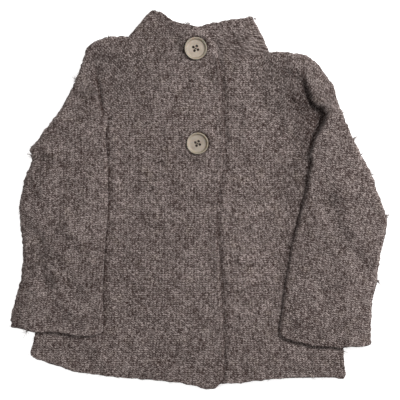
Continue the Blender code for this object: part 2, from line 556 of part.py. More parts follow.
def build_button(name, x, y, turn, material):
    """A turned button with a raised rim, its four thread holes cut through."""
    base = FRONT_TOP + LAYER + GAP
    bm = bmesh.new()
    profile = button_profile()
    verts = [bm.verts.new((r * MM, 0.0, h * MM)) for r, h in profile]
    edges = [bm.edges.new(pair) for pair in zip(verts[:-1], verts[1:])]
    bmesh.ops.spin(bm, geom=verts + edges, cent=(0, 0, 0), axis=(0, 0, 1), angle=math.tau,
                   steps=BUTTON_SIDES, use_merge=True)
    bmesh.ops.remove_doubles(bm, verts=bm.verts, dist=1e-6)
    bmesh.ops.recalc_face_normals(bm, faces=bm.faces)
    mesh = bpy.data.meshes.new(name)
    bm.to_mesh(mesh)
    bm.free()
    mesh.polygons.foreach_set("use_smooth", [True] * len(mesh.polygons))
    mesh.materials.append(material)
    button = bpy.data.objects.new(name, mesh)
    bpy.context.scene.collection.objects.link(button)
    button.location = (x * MM, y * MM, base * MM)

    cutter_mesh = bpy.data.meshes.new(name + "_holes")
    bm = bmesh.new()
    hole = BUTTON_HOLE_RADIUS * MM
    offset = BUTTON_HOLE_OFFSET * MM
    for k in range(4):
        angle = math.radians(turn) + k * math.pi / 2
        made = bmesh.ops.create_cone(bm, cap_ends=True, segments=BUTTON_HOLE_SIDES, radius1=hole,
                                     radius2=hole, depth=3 * BUTTON_HEIGHT * MM)
        shift = (offset * math.cos(angle), offset * math.sin(angle), 0.0)
        bmesh.ops.translate(bm, verts=made["verts"], vec=shift)
    bm.to_mesh(cutter_mesh)
    bm.free()
    cutter = bpy.data.objects.new(name + "_holes", cutter_mesh)
    bpy.context.scene.collection.objects.link(cutter)
    cutter.location = button.location
    cutter.hide_render = True
    cutter.hide_set(True)
    cutter.display_type = "WIRE"
    cut = button.modifiers.new("holes", "BOOLEAN")
    cut.operation = "DIFFERENCE"
    cut.object = cutter
    return button


def build_cardigan():
    """Make every piece of the cardigan."""
    clear_scene()
    knit = make_material("knit", KNIT_COLOUR, 0.95)
    plastic = make_material("button_cream", BUTTON_COLOUR, 0.4)
    right_inner = sleeve_stations(RIGHT_SLEEVE)[1]
    left_inner = sleeve_stations(LEFT_SLEEVE)[1]
    right_side = side_line(RIGHT_SIDE, right_inner, RIGHT_UNDERARM_ROW, 1.0)
    left_side = side_line(LEFT_SIDE, left_inner, LEFT_UNDERARM_ROW, -1.0)
    build_back(right_side, left_side, knit)
    build_fronts(right_side, left_side, knit)
    build_sleeve("sleeve_right", RIGHT_SLEEVE, RIGHT_CUFF, RIGHT_UNDERARM_ROW, right_side, RIGHT_CREASE,
                 RIGHT_CREASE_FADE, knit)
    build_sleeve("sleeve_left", LEFT_SLEEVE, LEFT_CUFF, LEFT_UNDERARM_ROW, left_side, LEFT_CREASE,
                 LEFT_CREASE_FADE, knit)
    build_collar(knit)
    for name, x, y, turn in BUTTONS:
        build_button(name, x, y, turn, plastic)


build_cardigan()
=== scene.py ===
"""A child's felted-wool cardigan laid flat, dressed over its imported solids.

Sizes are in millimetres until a mesh is made. X runs to the garment's left side, Y to its neck and Z up
from the table. Each knit piece is a thin shell: an outer grid of points with the stitches in its UV map,
and a coarser inner grid, joined round their edges.
"""

import math

import bpy
import numpy as np
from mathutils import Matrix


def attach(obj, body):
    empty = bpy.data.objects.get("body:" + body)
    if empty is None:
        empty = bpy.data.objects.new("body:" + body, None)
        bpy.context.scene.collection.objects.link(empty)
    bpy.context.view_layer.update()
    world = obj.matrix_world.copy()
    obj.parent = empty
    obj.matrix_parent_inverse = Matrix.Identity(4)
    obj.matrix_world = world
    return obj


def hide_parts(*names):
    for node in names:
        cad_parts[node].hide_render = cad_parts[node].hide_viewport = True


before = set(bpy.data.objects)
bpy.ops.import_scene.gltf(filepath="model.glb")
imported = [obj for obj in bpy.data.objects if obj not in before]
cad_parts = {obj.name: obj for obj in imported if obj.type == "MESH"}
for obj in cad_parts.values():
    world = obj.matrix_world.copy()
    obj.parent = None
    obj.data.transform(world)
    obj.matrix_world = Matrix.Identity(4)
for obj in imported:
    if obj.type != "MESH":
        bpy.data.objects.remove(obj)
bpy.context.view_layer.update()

MM = 0.001
WALL = 2.6
GAP = 0.3
FRONT_FLOOR = WALL + GAP
FRONT_TOP = FRONT_FLOOR + WALL
OVER_FRONT = FRONT_TOP + GAP
LAYER = WALL + GAP
# Clear height inside a sleeve, and the least that is left of its upper wall where it is pressed flat
MIN_HOLLOW = 0.05
MAX_HOLLOW = 3.3
THIN_WALL = 0.6
# Reach of the round on a wall's free edge
RIM = 0.5 * WALL

# Gauge of the knit: width of a stitch column and height of a row of stitches
WALE = 3.05
COURSE = 2.3
# Height of the knit's relief that counts as the wall's face
MEAN_RELIEF = 0.2
# Spacing of the shells' points across and along the knit, and how many of them the inner grid skips
ACROSS = 0.85
ALONG = 1.15
BACK_STEPS = (1.5, 1.7)
SKIP = 4

# Body side, hem corner to underarm, then the hidden end of the armhole: columns x, y
RIGHT_SIDE = [(-173.3, -165.9), (-176.1, -160.1), (-171.7, -143.3), (-167.5, -105.5), (-161.2, -53),
              (-154.9, -0.5), (-149.6, 41.5), (-147.5, 61.4), (-120.2, 69.8), (-101, 76.1)]
LEFT_SIDE = [(151.7, -188), (153.8, -185.3), (152.2, -161.2), (151.7, -137), (151.2, -95), (150.2, -50),
             (149.1, 10), (148.6, 40), (134, 43), (123.5, 43)]
SIDE_UNDERARM = 7
SIDE_ROWS = 60
# Hem edges, from the side to the centre front: columns x, y
RIGHT_HEM = [(-173.3, -165.9), (-150.7, -173.3), (-128.6, -180.6), (-109.7, -183.2), (-87.7, -186.1),
             (-57.2, -188.5), (-23.6, -191.6), (-8.9, -194), (1.6, -196.8), (13.7, -198.8), (21.1, -195.5)]
LEFT_HEM = [(-8, -192.2), (12, -192.7), (43.6, -192.7), (55.1, -190.6), (76.1, -188.5), (104.5, -186.4),
            (136, -186.4), (151.7, -188)]
BACK_HEM = [(-173.3, -165.9), (-100, -182), (-20, -189), (60, -188), (151.7, -186.5)]
# Centre edge of the right front, hem to collar, which shows, and of the left front, which lies under
RIGHT_EDGE = [(21.1, -195.5), (25.7, -187), (26.9, -174.8), (26.8, -152.8), (25.7, -126.5), (22.6, -77),
              (20.8, -43), (19.4, -31), (19, -11), (19.6, -0.5), (22.6, 14.2), (26.6, 40.4), (27.8, 52),
              (27.8, 71.9), (24.7, 94), (24.7, 115), (23.7, 133.9), (20.5, 148.8)]
LEFT_EDGE = [(-8, -192.2), (-9, -100), (-9.5, 0), (-10, 100), (-10.5, 150.5)]
# Neck seam of the fronts, from the raglan seam to the centre edge
RIGHT_NECK = [(-53, 158), (-40, 153.5), (-18, 149.6), (4, 148.2), (20.5, 148.8)]
LEFT_NECK = [(-10.5, 150.5), (8, 147), (28, 146), (44, 147.6), (56.7, 149.6)]
# Sleeve stations, neck to cuff: columns outer x, outer y, inner x, inner y. The inner points follow the
# raglan seam down to the underarm, then the sleeve's own folded edge.
RIGHT_SLEEVE = [(-74.2, 171.3, -53, 158), (-84.5, 171.8, -55.3, 146.5), (-96.1, 170.2, -58.3, 136),
                (-107.9, 166.4, -62, 125.5), (-117.1, 158.8, -67.7, 115), (-121.5, 146.5, -75.1, 105.5),
                (-124.8, 136, -83, 96.1), (-130.3, 123.4, -89.8, 86.6), (-136, 110.8, -95, 79.3),
                (-143, 98.2, -97.1, 69.8), (-151, 85.6, -97.1, 60.4), (-161.6, 73, -96.1, 52),
                (-170.1, 60.4, -95.2, 43.6), (-176.8, 53, -94.8, 35.2), (-174.6, 43.6, -94.6, 26.8),
                (-176.7, 35.2, -94.6, 18.4), (-181, 26.8, -94.6, 12.6), (-183.6, 17.3, -94.5, 4.7),
                (-185.9, 5.8, -94.6, -5.8), (-188.1, -6.8, -95.2, -17.3), (-187.4, -21.5, -96.3, -29.9),
                (-185.7, -36.2, -97.5, -42.5), (-184.5, -50.9, -98.2, -54.1), (-184, -63.5, -98.8, -65.6),
                (-185.3, -76.1, -99.4, -78.2), (-187.4, -87.7, -99.9, -89.8), (-191, -99.2, -100, -102.4),
                (-193.9, -110.8, -99.6, -113.9), (-196.7, -122.3, -99.2, -126.5),
                (-197, -133.4, -100.3, -138.1)]
RIGHT_CUFF = [(-197, -133.4), (-188, -135), (-181.6, -136), (-171, -139.1), (-152.1, -138.5),
              (-128.1, -141.9), (-112, -142.6), (-100.3, -138.1)]
RIGHT_UNDERARM_ROW = 8
LEFT_SLEEVE = [(74.6, 154.5, 56.7, 149.6), (84.5, 155.3, 60.4, 137), (96.1, 154.5, 65.6, 124.4),
               (107.6, 153.2, 73, 115), (118.1, 148.2, 80.3, 105.5), (126.5, 140.7, 85.6, 97.1),
               (133.4, 130.3, 89.8, 87.7), (140.2, 122.3, 92.2, 77.2), (143.8, 111.8, 95, 65.6),
               (145.9, 102.4, 101.3, 57.2), (150.7, 91.9, 109.7, 49.9), (154.4, 82.4, 118.1, 42.5),
               (159.1, 71.9, 116.3, 31), (164.3, 60.4, 114.5, 19.4), (170.6, 46.7, 112.3, 8.9),
               (177.3, 35.2, 109.7, -0.5), (183.2, 22.6, 107.1, -12.1), (187.4, 8.9, 104, -24.7),
               (192.7, -3.7, 100.3, -37.3), (197.2, -17.3, 97.1, -49.9), (197.4, -31, 95, -63.5),
               (193.7, -46.7, 92.9, -76.1), (190.6, -60.4, 90.8, -88.7), (189.1, -74, 89, -101.3),
               (187.2, -87.7, 87.7, -113.9), (183.6, -101.3, 86.1, -124.4), (181.6, -116, 84.9, -131.8),
               (181.5, -134, 84.7, -137.6), (181.1, -152.8, 85.6, -141.2)]
LEFT_CUFF = [(181.1, -152.8), (170, -154.2), (152.8, -154.9), (136, -153.8), (119.2, -152.8), (106.1, -149.2),
             (92.9, -145.4), (85.6, -141.2)]
LEFT_UNDERARM_ROW = 11
# Crease where each sleeve's fold stands over its cap, shoulder to underarm: columns x, y, overhang, crest
RIGHT_CREASE = [(-111.8, 157, 0, 7), (-108.7, 141.2, 0.2, 8), (-106.6, 127.6, 0.8, 9),
                (-103.4, 109.7, 1.2, 10), (-100.5, 91.9, 1.4, 11), (-99.2, 82.5, 1.4, 11)]
LEFT_CREASE = [(110.7, 146.5, 0, 8), (114.5, 134.9, 0.8, 11), (118.5, 112.9, 2.4, 14.5),
               (123.4, 103.4, 3.5, 16), (131.2, 98.6, 4.2, 17), (136, 90.3, 4.5, 17), (131.9, 79.3, 4, 15.5),
               (124.8, 64.6, 3, 13.4), (120.8, 53, 2, 12)]
CREST_REACH = 17
# Height of the sleeves' folded edge at the cuff
CUFF_CREST = 10.8
# Reach of the lift of the cap's cloth beside each crease
CAP_LIFT_REACH = 18
# Least share of two walls' thickness where folded cloth is pressed, and at the cuff
SQUASH = 0.84
CUFF_SQUASH = 0.66
# Fall of the sleeve towards its cuff, and how far up it reaches
CUFF_FALL = 2.6
CUFF_REACH = 20
# How far the body runs in under the sleeve's fold at the underarm
TUCK = 3.5
# Collar: fold lines at its two sides, base then top, and the edges between them
COLLAR_RIGHT_FOLD = [(-74.2, 171.3), (-61.9, 185), (-54.5, 193.9), (-48.8, 198.6)]
COLLAR_LEFT_FOLD = [(74.6, 154.5), (70.9, 163.8), (65, 176), (56.2, 192.4)]
COLLAR_TOP_RIGHT = [(-48.8, 198.6), (-39.4, 195.8), (-32, 190.6), (-24.7, 186.9), (-11, 183.4), (-3, 181.6)]
COLLAR_TOP_LEFT = [(-11.5, 183.2), (1.6, 181.9), (12.1, 184.5), (33.1, 188.5), (48.8, 190.4), (56.2, 192.4)]
COLLAR_TOP_BACK = [(-48.8, 197), (-32, 189), (-11, 181.5), (12.1, 182.5), (33.1, 186.8), (56.2, 191)]
COLLAR_RIGHT_EDGE = [(20.5, 149.2), (19.6, 157), (17.3, 163), (11, 170.5), (4.7, 176.6), (-3, 181.6)]
COLLAR_LEFT_EDGE = [(-10.5, 150.9), (-11, 167), (-11.5, 183.2)]
# Slope of the neck seam where each sleeve meets the collar
RIGHT_NECK_SLOPE = -0.627
LEFT_NECK_SLOPE = 0.274
BACK_NECK = [(-53, 158), (-20, 160.6), (20, 157.2), (56.7, 149.6)]
COLLAR_FOLD = 4.2
COLLAR_HEIGHT = 32
COLLAR_LEAN = [(140, -6), (200, -8)]

# Soft folds: columns x0, y0, x1, y1, height, half width
DRAG_FOLDS = [(40, -20, 73, -11, 1.4, 3), (27, -50, 39, -48.5, 1.1, 2.6), (42, -64, 70, -59, 1.3, 2.8),
              (50, -85, 75, -75, 1.6, 3.2), (33, -96, 64, -85, 1.3, 2.8), (44, -122, 72, -111, 1.4, 3),
              (36, -108, 60, -100, 1, 2.6)]
# Share of light, a painted highlight, added to a drag fold's crest for each mm of its height
CREST_HIGHLIGHT = 0.12
BODY_FOLDS = [(-70, -30, -60, -110, 1.2, 16), (-60, 60, -40, 110, 1.2, 16), (52, 60, 48, 110, 1.4, 12),
              (-100, -171, -30, -181, 1.2, 8), (60, -170, 130, -172, 1.2, 9), (-86, 60, -91, -125, 1, 6),
              (102, -45, 79, -125, 1.2, 7), (-168, -152, -104, -155, 0.9, 6), (92, -155, 150, -166, 1, 6)]
SLEEVE_FOLDS = [(-160, 50, -145, 48, 1.6, 8), (-164, 42, -130, 27, -1.1, 5.5), (-138, -28, -124, -44, 2, 9),
                (-166, -42, -161, -90, -2, 8), (-148, -86, -150, -82, 1.8, 8), (128, 92, 134, 60, 2, 8),
                (148, 8, 170, 7, 2, 8), (135, -8, 174, -76, -2.2, 9), (133, -98, 153, -92, -2, 7),
                (112, -20, 100, -110, 1, 9), (-104, 30, -108, -110, 1, 9)]
# Puff of the cloth round a sewn-on button, its distance from the button's middle and its half width
PUFF = (1.6, 14.8, 4.2)
# Dip of the cloth under a button and its reach
DIP = (2, 11.5)
# Share of the front's loose height that a sleeve on it takes away
PRESS = 0.75
# How far outside the sleeve's line that starts, and over what distance: at the side, the top and the cuff
PRESS_SIDE = (2, 8)
PRESS_TOP = (6, 12)
PRESS_CUFF = (6, 10)
# Roll of the lap's edge and the dip of the front beside it: height, distance from the edge, half width
LAP_ROLL = (0.7, 3, 2.6)
LAP_DIP = (1.2, 1, 3)
# Where the right front starts to rise over the left one, and how far it takes
LAP_RISE = (-72, 58)
# Reach of the painted shade beside the lap, the height from which it is fainter, and how far that takes
LAP_GROOVE_REACH = 2.6
LAP_FADE = (10, 80)
# Reach of the painted shade along a sleeve, the height from which it is darker, and how far that takes
GROOVE_REACH = 2.4
GROOVE_RISE = (-90, 110)

SLEEVE_FOLD_WIDTH = 5.6
SLEEVE_HEIGHT_OVER_BODY = 12.6
SLEEVE_HEIGHT_AT_EDGE = 7.8
# Distance outside the body over which the sleeve comes down from the one height to the other
SLEEVE_FALL = 42
# Distance outside the body over which a sleeve's under face comes down to the table
FLOOR_REACH = 9
FLOOR_RAMP = 8
# Distances from the neck seam and the raglan seam over which a sleeve's cap eases up
SHOULDER_EASE = 26
SEAM_EASE = 20
CREASE_WIDTH = 5
# Further width of the step at the crease up at the shoulder, where it fades out
SHOULDER_WIDTH = 34
# Points of a sleeve's ring: inner end, cap, arm, outer fold, under layer
RING_COUNTS = (8, 44, 88, 12, 24)
# How far past the crease the cap's closer points reach, and how far they reach at least
PAST_CREASE = 12
CAP_LEAST = 18
# Crest height above which the painted shade beside a crease widens into a painted shadow on the cap
LOW_CREST = 11
# Angle in degrees past which an edge of the knit is drawn sharp
SHARP_ANGLE = 62
# Clear height of the upper cloth over the back, before its folds
LOFT = 1
# Sideways unevenness of the felted edges, and how far in it reaches
SWAY = 0.42
SWAY_REACH = 3

# Lean of the stitch columns from the Y axis, in degrees, by height on the piece: columns y, lean
RIGHT_FRONT_LEAN = [(-190, -8), (-137, -5), (-105, 0), (52, 0), (94, 5), (131, 7)]
LEFT_FRONT_LEAN = [(-190, 6), (-95, 7), (0, 7), (52, 4), (68, 0), (150, 0)]
BACK_LEAN = [(-190, 0), (150, 0)]
# How each sleeve's knit turns from its cap to its arm: pivot x and y, lean on the cap, lean on the arm,
# and the arm's further lean by distance below the pivot
RIGHT_SLEEVE_KNIT = (-103, 110, -46, 7, [(0, 0), (30, -2), (60, -7), (150, -8), (190, -13), (250, -14)])
LEFT_SLEEVE_KNIT = (-124, 92, -52, 8, [(0, 0), (60, 2), (140, 1), (250, -4)])
BEND_RADIUS = 34
# Height range over which each sleeve's crease comes in, how far out its fold starts from its line, as a
# share of the overhang and in mm, and the lift of the cap's cloth beside it
RIGHT_CREASE_STAND = ((165, 128), (0, 4.8), 1.6)
LEFT_CREASE_STAND = ((150, 112), (0.35, 0), 3.6)

# Darker and lighter places: partly the heathered wool's own tone, partly painted shade and painted light:
# columns x, y, reach, share of light
WOOL_SHADES = [(-101.3, 146.5, 13, -0.25), (-8.9, 121.3, 11, -0.1), (18.4, 121.3, 11, -0.1),
               (85.6, 112.9, 28, -0.14), (75.1, 144.4, 14, -0.12), (94, 20.5, 16, -0.1),
               (-161.2, -61.4, 16, -0.22), (-113.9, -92.9, 18, -0.15), (157, -42.5, 14, -0.1),
               (-101.3, 58.3, 12, -0.1), (131.8, -152.8, 12, -0.08), (-13.1, -168.5, 14, -0.08),
               (-44.6, 159, 13, 0.08), (43.6, 20.5, 13, 0.08), (62.5, -67.7, 18, 0.12),
               (-82.4, -130.7, 15, 0.08), (62.5, 171.7, 9, 0.1), (-87.7, 130.7, 32, -0.11),
               (153.8, -32, 60, -0.1), (140, 75, 34, -0.1), (-24.7, 172.7, 18, -0.08), (70, 165, 30, -0.05),
               (123.4, 115, 22, -0.16), (-62, 140, 26, -0.1), (104, 30, 16, -0.12), (-30, 170, 22, -0.08),
               (40, 175, 22, -0.08), (-172, -120, 20, 0.06), (80, 105, 30, -0.08), (-85, 110, 26, -0.08),
               (112, 45, 12, -0.12), (-130, 73, 24, -0.09), (102, 8, 16, -0.1), (84, 126, 12, -0.1)]

# Loose fibres: how many, how much denser at the edges, and the larger tufts as x, y, z, length, fibres
FIBRES = 11500
EDGE_FIBRES = 4
TUFTS = [(181.5, 27, 4.5, 4.5, 26), (180, 20, 4.5, 3.5, 18), (199, -17.5, 4.5, 4, 22), (189, -86, 4.5, 3, 18),
         (-11, 185, 4.5, 3.5, 20), (-95, 171.5, 4.5, 3, 14), (-129.5, 125.5, 4.5, 3, 16),
         (-181, -138, 3, 3.5, 16), (164, 64, 4.5, 3, 16), (171, 47, 4.5, 3, 14), (-176, 46, 4.5, 3, 14),
         (-187, -14, 4.5, 2.6, 12), (152, -160, 2.5, 2.6, 12), (-100, -183.5, 2, 2.4, 12),
         (60, 191, 3, 2.6, 12), (-172, -150, 2, 2.8, 14), (120, -186.8, 2, 2.4, 12), (150, 93, 4.5, 2.6, 12)]
BUTTON_RADIUS = 11.6
# Buttons: columns name, x, y, turn of the holes, tilt about Y in degrees, size against BUTTON_RADIUS
BUTTONS = [("button_top", -3.1, 158, 62, -6, 1.02), ("button_lower", -0.9, 58.6, 65, 2, 0.985)]
BUTTON_TOP = 3.4
BUTTON_DISH = 1.7
# Width of the rolled rim, and of the slope from it down to the dish
BUTTON_RIM = 1.3
BUTTON_SLOPE = 1.5
# Outer edge and round foot of a button: columns distance in from its radius, height
BUTTON_FOOT = [(0, 1.8), (0.5, 0.8), (2.2, 0.1), (4, 0)]
HOLE_RADIUS = 1.38
HOLE_OFFSET = 2.65
THREAD_RADIUS = 0.34

# Loose fibres' length and thickness, the tufts' thickness, and the lowest that a fibre lies
FIBRE_LENGTH = (1.5, 4.5)
FIBRE_THICKNESS = (0.07, 0.14)
TUFT_THICKNESS = (0.18, 0.34)
FIBRE_FLOOR = 0.2
# Upward share of a face's normal under which it counts as an edge, and under which it bears no fibre
STEEP = 0.6
UNDERSIDE = -0.75

# Lights in metres and watts: name, place, size, power
LIGHTS = [("key", (1.25, 0.75, 0.9), 0.7, 33), ("fill", (-0.9, 0.1, 1.5), 1.2, 6)]
CAMERA_HEIGHT = 2.4
VIEW_WIDTH = 0.42
VIEW_CENTRE = (0.0016, -0.0005)


def curve_at(table, places):
    """Catmull-Rom values of a table at fractional row numbers; the ends use a mirrored neighbour."""
    table = np.asarray(table, float)
    padded = np.vstack([2 * table[0] - table[1], table, 2 * table[-1] - table[-2]])
    places = np.asarray(places, float)
    row = np.clip(places.astype(int), 0, len(table) - 2)
    t = (places - row)[..., None]
    a, b, c, d = padded[row], padded[row + 1], padded[row + 2], padded[row + 3]
    return 0.5 * (2 * b + (c - a) * t + (2 * a - 5 * b + 4 * c - d) * t**2 + (3 * b - a - 3 * c + d) * t**3)


def lengths(line):
    """Running length at each point of a polyline."""
    return np.concatenate([[0.0], np.cumsum(np.linalg.norm(np.diff(line, axis=0), axis=1))])


def point_on(line, share):
    """Points of a polyline at shares of its length; share may be an array of any shape."""
    run = lengths(line)
    want = np.asarray(share, float) * run[-1]
    return np.stack([np.interp(want, run, line[:, k]) for k in range(line.shape[1])], axis=-1)


def smooth_line(points, count=240):
    """Catmull-Rom curve through a table of points, sampled evenly along its length."""
    table = np.asarray(points, float)
    dense = curve_at(table, np.linspace(0.0, len(table) - 1, (len(table) - 1) * 16 + 1))
    return point_on(dense, np.linspace(0.0, 1.0, count))


# The lap's free edge, hem to the top of the collar
LAP_LINE = smooth_line(RIGHT_EDGE + COLLAR_RIGHT_EDGE[1:], 46)


def soft_step(value):
    """Smooth ramp from 0 to 1 as the value goes from 0 to 1."""
    value = np.clip(value, 0.0, 1.0)
    return value * value * (3.0 - 2.0 * value)


def distance_to_line(points, line):
    """Shortest distance in plan from each point to a polyline."""
    best = np.full(points.shape[:-1], 1e9)
    for a, b in zip(line[:-1], line[1:]):
        span = b - a
        along = np.clip(((points - a) @ span) / max(span @ span, 1e-12), 0.0, 1.0)
        best = np.minimum(best, np.linalg.norm(points - a - along[..., None] * span, axis=-1))
    return best


def is_inside(points, loop):
    """True where a plan point lies inside a closed loop, by counting the edges that it is left of."""
    x, y = points[..., 0], points[..., 1]
    inside = np.zeros(x.shape, bool)
    for a, b in zip(loop, np.roll(loop, -1, axis=0)):
        crosses = (a[1] > y) != (b[1] > y)
        edge_x = a[0] + (y - a[1]) * (b[0] - a[0]) / (b[1] - a[1] if b[1] != a[1] else 1e-12)
        inside ^= crosses & (x < edge_x)
    return inside


def fold_height(points, folds):
    """Sum of the soft folds of a table: each is a bell across a short line, fading at its ends."""
    height = np.zeros(points.shape[:-1])
    for x0, y0, x1, y1, rise, width in folds:
        away = distance_to_line(points, np.array([(x0, y0), (x1, y1)]))
        height += rise * np.exp(-(away / width) ** 2)
    return height


def lumps(points, size, seed):
    """Smooth unevenness between about -1 and 1: a sum of seeded waves in all directions near one size."""
    rng = np.random.default_rng(seed)
    count = 22
    angle = rng.uniform(0.0, math.tau, count)
    wave = math.tau / (size * rng.uniform(0.7, 1.6, count))
    phase = rng.uniform(0.0, math.tau, count)
    total = np.zeros(points.shape[:-1])
    for k in range(count):
        along = points[..., 0] * math.cos(angle[k]) + points[..., 1] * math.sin(angle[k])
        total += np.sin(along * wave[k] + phase[k])
    return total / math.sqrt(count)


def wool_shade(points):
    """Share of light lost or gained: wool tone, painted light and shade in soft round places, crest
    highlights.
    """
    total = np.zeros(points.shape[:-1])
    for x, y, reach, amount in WOOL_SHADES:
        away = np.hypot(points[..., 0] - x, points[..., 1] - y)
        total += amount * np.exp(-(away / reach) ** 2)
    return total + CREST_HIGHLIGHT * fold_height(points[..., :2], DRAG_FOLDS)


class Patch:
    """Plan surface between four edge curves: u runs from low to high, v from start to end.

    A point is the sum of the two ruled surfaces less the one through the four corners. The low and
    high curves are tables that share their row numbers.
    """

    def __init__(self, low, high, start, end):
        self.low, self.high = np.asarray(low, float), np.asarray(high, float)
        self.start, self.end = start.copy(), end.copy()
        self.start[0], self.start[-1] = self.low[0], self.high[0]
        self.end[0], self.end[-1] = self.low[-1], self.high[-1]

    def at(self, u, v):
        """Plan points at arrays u and v, which broadcast together."""
        u, v = np.broadcast_arrays(np.asarray(u, float), np.asarray(v, float))
        rows = len(self.low) - 1
        low, high = curve_at(self.low, v * rows), curve_at(self.high, v * rows)
        start, end = point_on(self.start, u), point_on(self.end, u)
        u, v = u[..., None], v[..., None]
        corners = ((1 - v) * ((1 - u) * self.start[0] + u * self.start[-1])
                   + v * ((1 - u) * self.end[0] + u * self.end[-1]))
        return (1 - u) * low + u * high + (1 - v) * start + v * end - corners

    def even_rows(self, count):
        """Values of v whose rows are evenly spaced along the middle of the patch."""
        v = np.linspace(0.0, 1.0, 600)
        run = lengths(self.at(0.5, v))
        return np.interp(np.linspace(0.0, run[-1], count), run, v)


def sway(points):
    """Small uneven push in plan, of the size of a few stitches, that makes a felted edge waver."""
    x = 0.7 * lumps(points, 6.0, 21) + 0.6 * lumps(points, 15.0, 22)
    y = 0.7 * lumps(points, 6.0, 23) + 0.6 * lumps(points, 15.0, 24)
    return SWAY * np.stack([x, y], axis=-1)


def edge_spacing(length, step):
    """Distances along a side of a piece: close together over each rim's round, then evenly spaced."""
    count = int(math.ceil((length - 2 * RIM) / step / SKIP)) * SKIP
    round_in = RIM * (1.0 - np.cos(np.linspace(0.0, math.pi / 2, SKIP + 1)))
    middle = np.linspace(RIM, length - RIM, count + 1)
    return np.concatenate([round_in[:-1], middle, length - round_in[::-1][1:]])


def rim_round(distance):
    """Share of the wall left at a distance from its free edge: a quarter round."""
    ratio = np.clip(1.0 - distance / RIM, 0.0, 1.0)
    return np.maximum(np.sqrt(np.clip(1.0 - ratio * ratio, 0.0, 1.0)), 0.16)


def row_places(patch, step):
    """Distances of a patch's rows from its start, their whole length and the v of each row."""
    share = np.linspace(0, 1, 400)
    run = lengths(patch.at(0.5, share))[-1]
    along = edge_spacing(run, step)
    return along, run, np.interp(along / run, share, patch.even_rows(400))


def patch_grid(patch, step_across, step_along):
    """Plan points of a patch, the distances of its columns and rows, its width and length, the rows' v."""
    width = lengths(patch.at(np.linspace(0, 1, 200), 0.5))[-1]
    across = edge_spacing(width, step_across)[None, :]
    along, run, v = row_places(patch, step_along)
    return patch.at(across / width, v[:, None]), across, along[:, None], width, run, v[:, None]


def knit_relief(stitches, points):
    """Height of the knit surface: a ridge for each stitch column, a bead for each row, and felting."""
    wale = np.cos(math.tau * stitches[..., 0])
    course = np.cos(math.tau * (stitches[..., 1] - 0.5 * np.abs(2.0 * (stitches[..., 0] % 1.0) - 1.0)))
    felt = lumps(points, 5.0, 11) * 0.16 + lumps(points, 9.0, 12) * 0.14
    return 0.05 * wale + 0.05 * course + felt


def grid_normals(grid):
    """Unit normals of a grid of points, from the cross product of its two directions."""
    across = np.gradient(grid, axis=1)
    along = np.gradient(grid, axis=0)
    normal = np.cross(across, along)
    return normal / np.maximum(np.linalg.norm(normal, axis=-1, keepdims=True), 1e-9)


def grid_faces(index, flip):
    """Quads of a grid of vertex numbers."""
    a, b = index[:-1, :-1], index[:-1, 1:]
    c, d = index[1:, 1:], index[1:, :-1]
    order = (a, d, c, b) if flip else (a, b, c, d)
    return np.stack(order, axis=-1).reshape(-1, 4)


def shell_mesh(name, outer, inner, stitches, hollow, weld_row=None):
    """A closed wall from a fine outer grid and a coarse inner one, joined along their free edges.

    The hollow grid is painted shade: how much the material darkens each outer point in grooves and creases,
    where shade falls. From weld_row on, the first and last columns are one line, as on a tube.
    """
    grid_at = np.arange(outer.shape[0] * outer.shape[1]).reshape(outer.shape[:2])
    top = grid_at.copy()
    low = np.arange(inner.shape[0] * inner.shape[1]).reshape(inner.shape[:2]) + top.size
    if weld_row is not None:
        top[weld_row:, -1] = top[weld_row:, 0]
        low[weld_row // SKIP:, -1] = low[weld_row // SKIP:, 0]
    coarse = grid_at[::SKIP, ::SKIP]
    faces = list(grid_faces(top, False)) + list(grid_faces(low, True))
    corners = list(grid_faces(grid_at, False)) + list(grid_faces(coarse, True))

    def strip(fine, rough, flip):
        """Faces between a fine edge and a coarse one: one coarse edge to SKIP fine ones."""
        points_of = (faces, top[fine], low[rough])
        stitches_of = (corners, grid_at[fine], coarse[rough])
        for numbers, upper, lower in (points_of, stitches_of):
            for k in range(len(lower) - 1):
                part = list(upper[k * SKIP:k * SKIP + SKIP + 1]) + [lower[k + 1], lower[k]]
                numbers.append(part[::-1] if flip else part)

    every = slice(None)
    stop = every if weld_row is None else slice(weld_row + 1)
    low_stop = every if weld_row is None else slice(weld_row // SKIP + 1)
    strip((0, every), (0, every), True)
    strip((-1, every), (-1, every), False)
    strip((stop, 0), (low_stop, 0), False)
    strip((stop, -1), (low_stop, -1), True)

    points = np.vstack([outer.reshape(-1, 3), inner.reshape(-1, 3)])
    depth = np.concatenate([hollow.ravel(), hollow[::SKIP, ::SKIP].ravel()])
    used = np.unique(np.concatenate([np.asarray(f) for f in faces]))
    renumber = np.full(len(points), -1)
    renumber[used] = np.arange(len(used))
    points = points[used]
    faces = [renumber[np.asarray(f)] for f in faces]
    quads = np.array([f for f in faces if len(f) == 4])
    a, b, c, d = (points[quads[:, k]] for k in range(4))
    volume = (np.einsum("ij,ij->i", a, np.cross(b, c)) + np.einsum("ij,ij->i", a, np.cross(c, d))).sum()
    if volume < 0:
        faces = [f[::-1] for f in faces]
        corners = [np.asarray(f)[::-1] for f in corners]
    mesh = bpy.data.meshes.new(name)
    mesh.from_pydata((points * MM).tolist(), [], [f.tolist() for f in faces])
    layer = mesh.uv_layers.new(name="stitches")
    layer.data.foreach_set("uv", stitches.reshape(-1, 2)[np.concatenate(corners)].ravel())
    # Painted shade in grooves and creases, then darker and lighter places, partly painted light and shade
    point_values(mesh, "hollow", depth[used])
    point_values(mesh, "shade", wool_shade(points))
    smooth(mesh, SHARP_ANGLE)
    mesh.update()
    return mesh


def point_values(mesh, name, values):
    """Keep a number for each point of a mesh, for its material to read."""
    mesh.attributes.new(name, "FLOAT", "POINT").data.foreach_set("value", values.astype(np.float32))


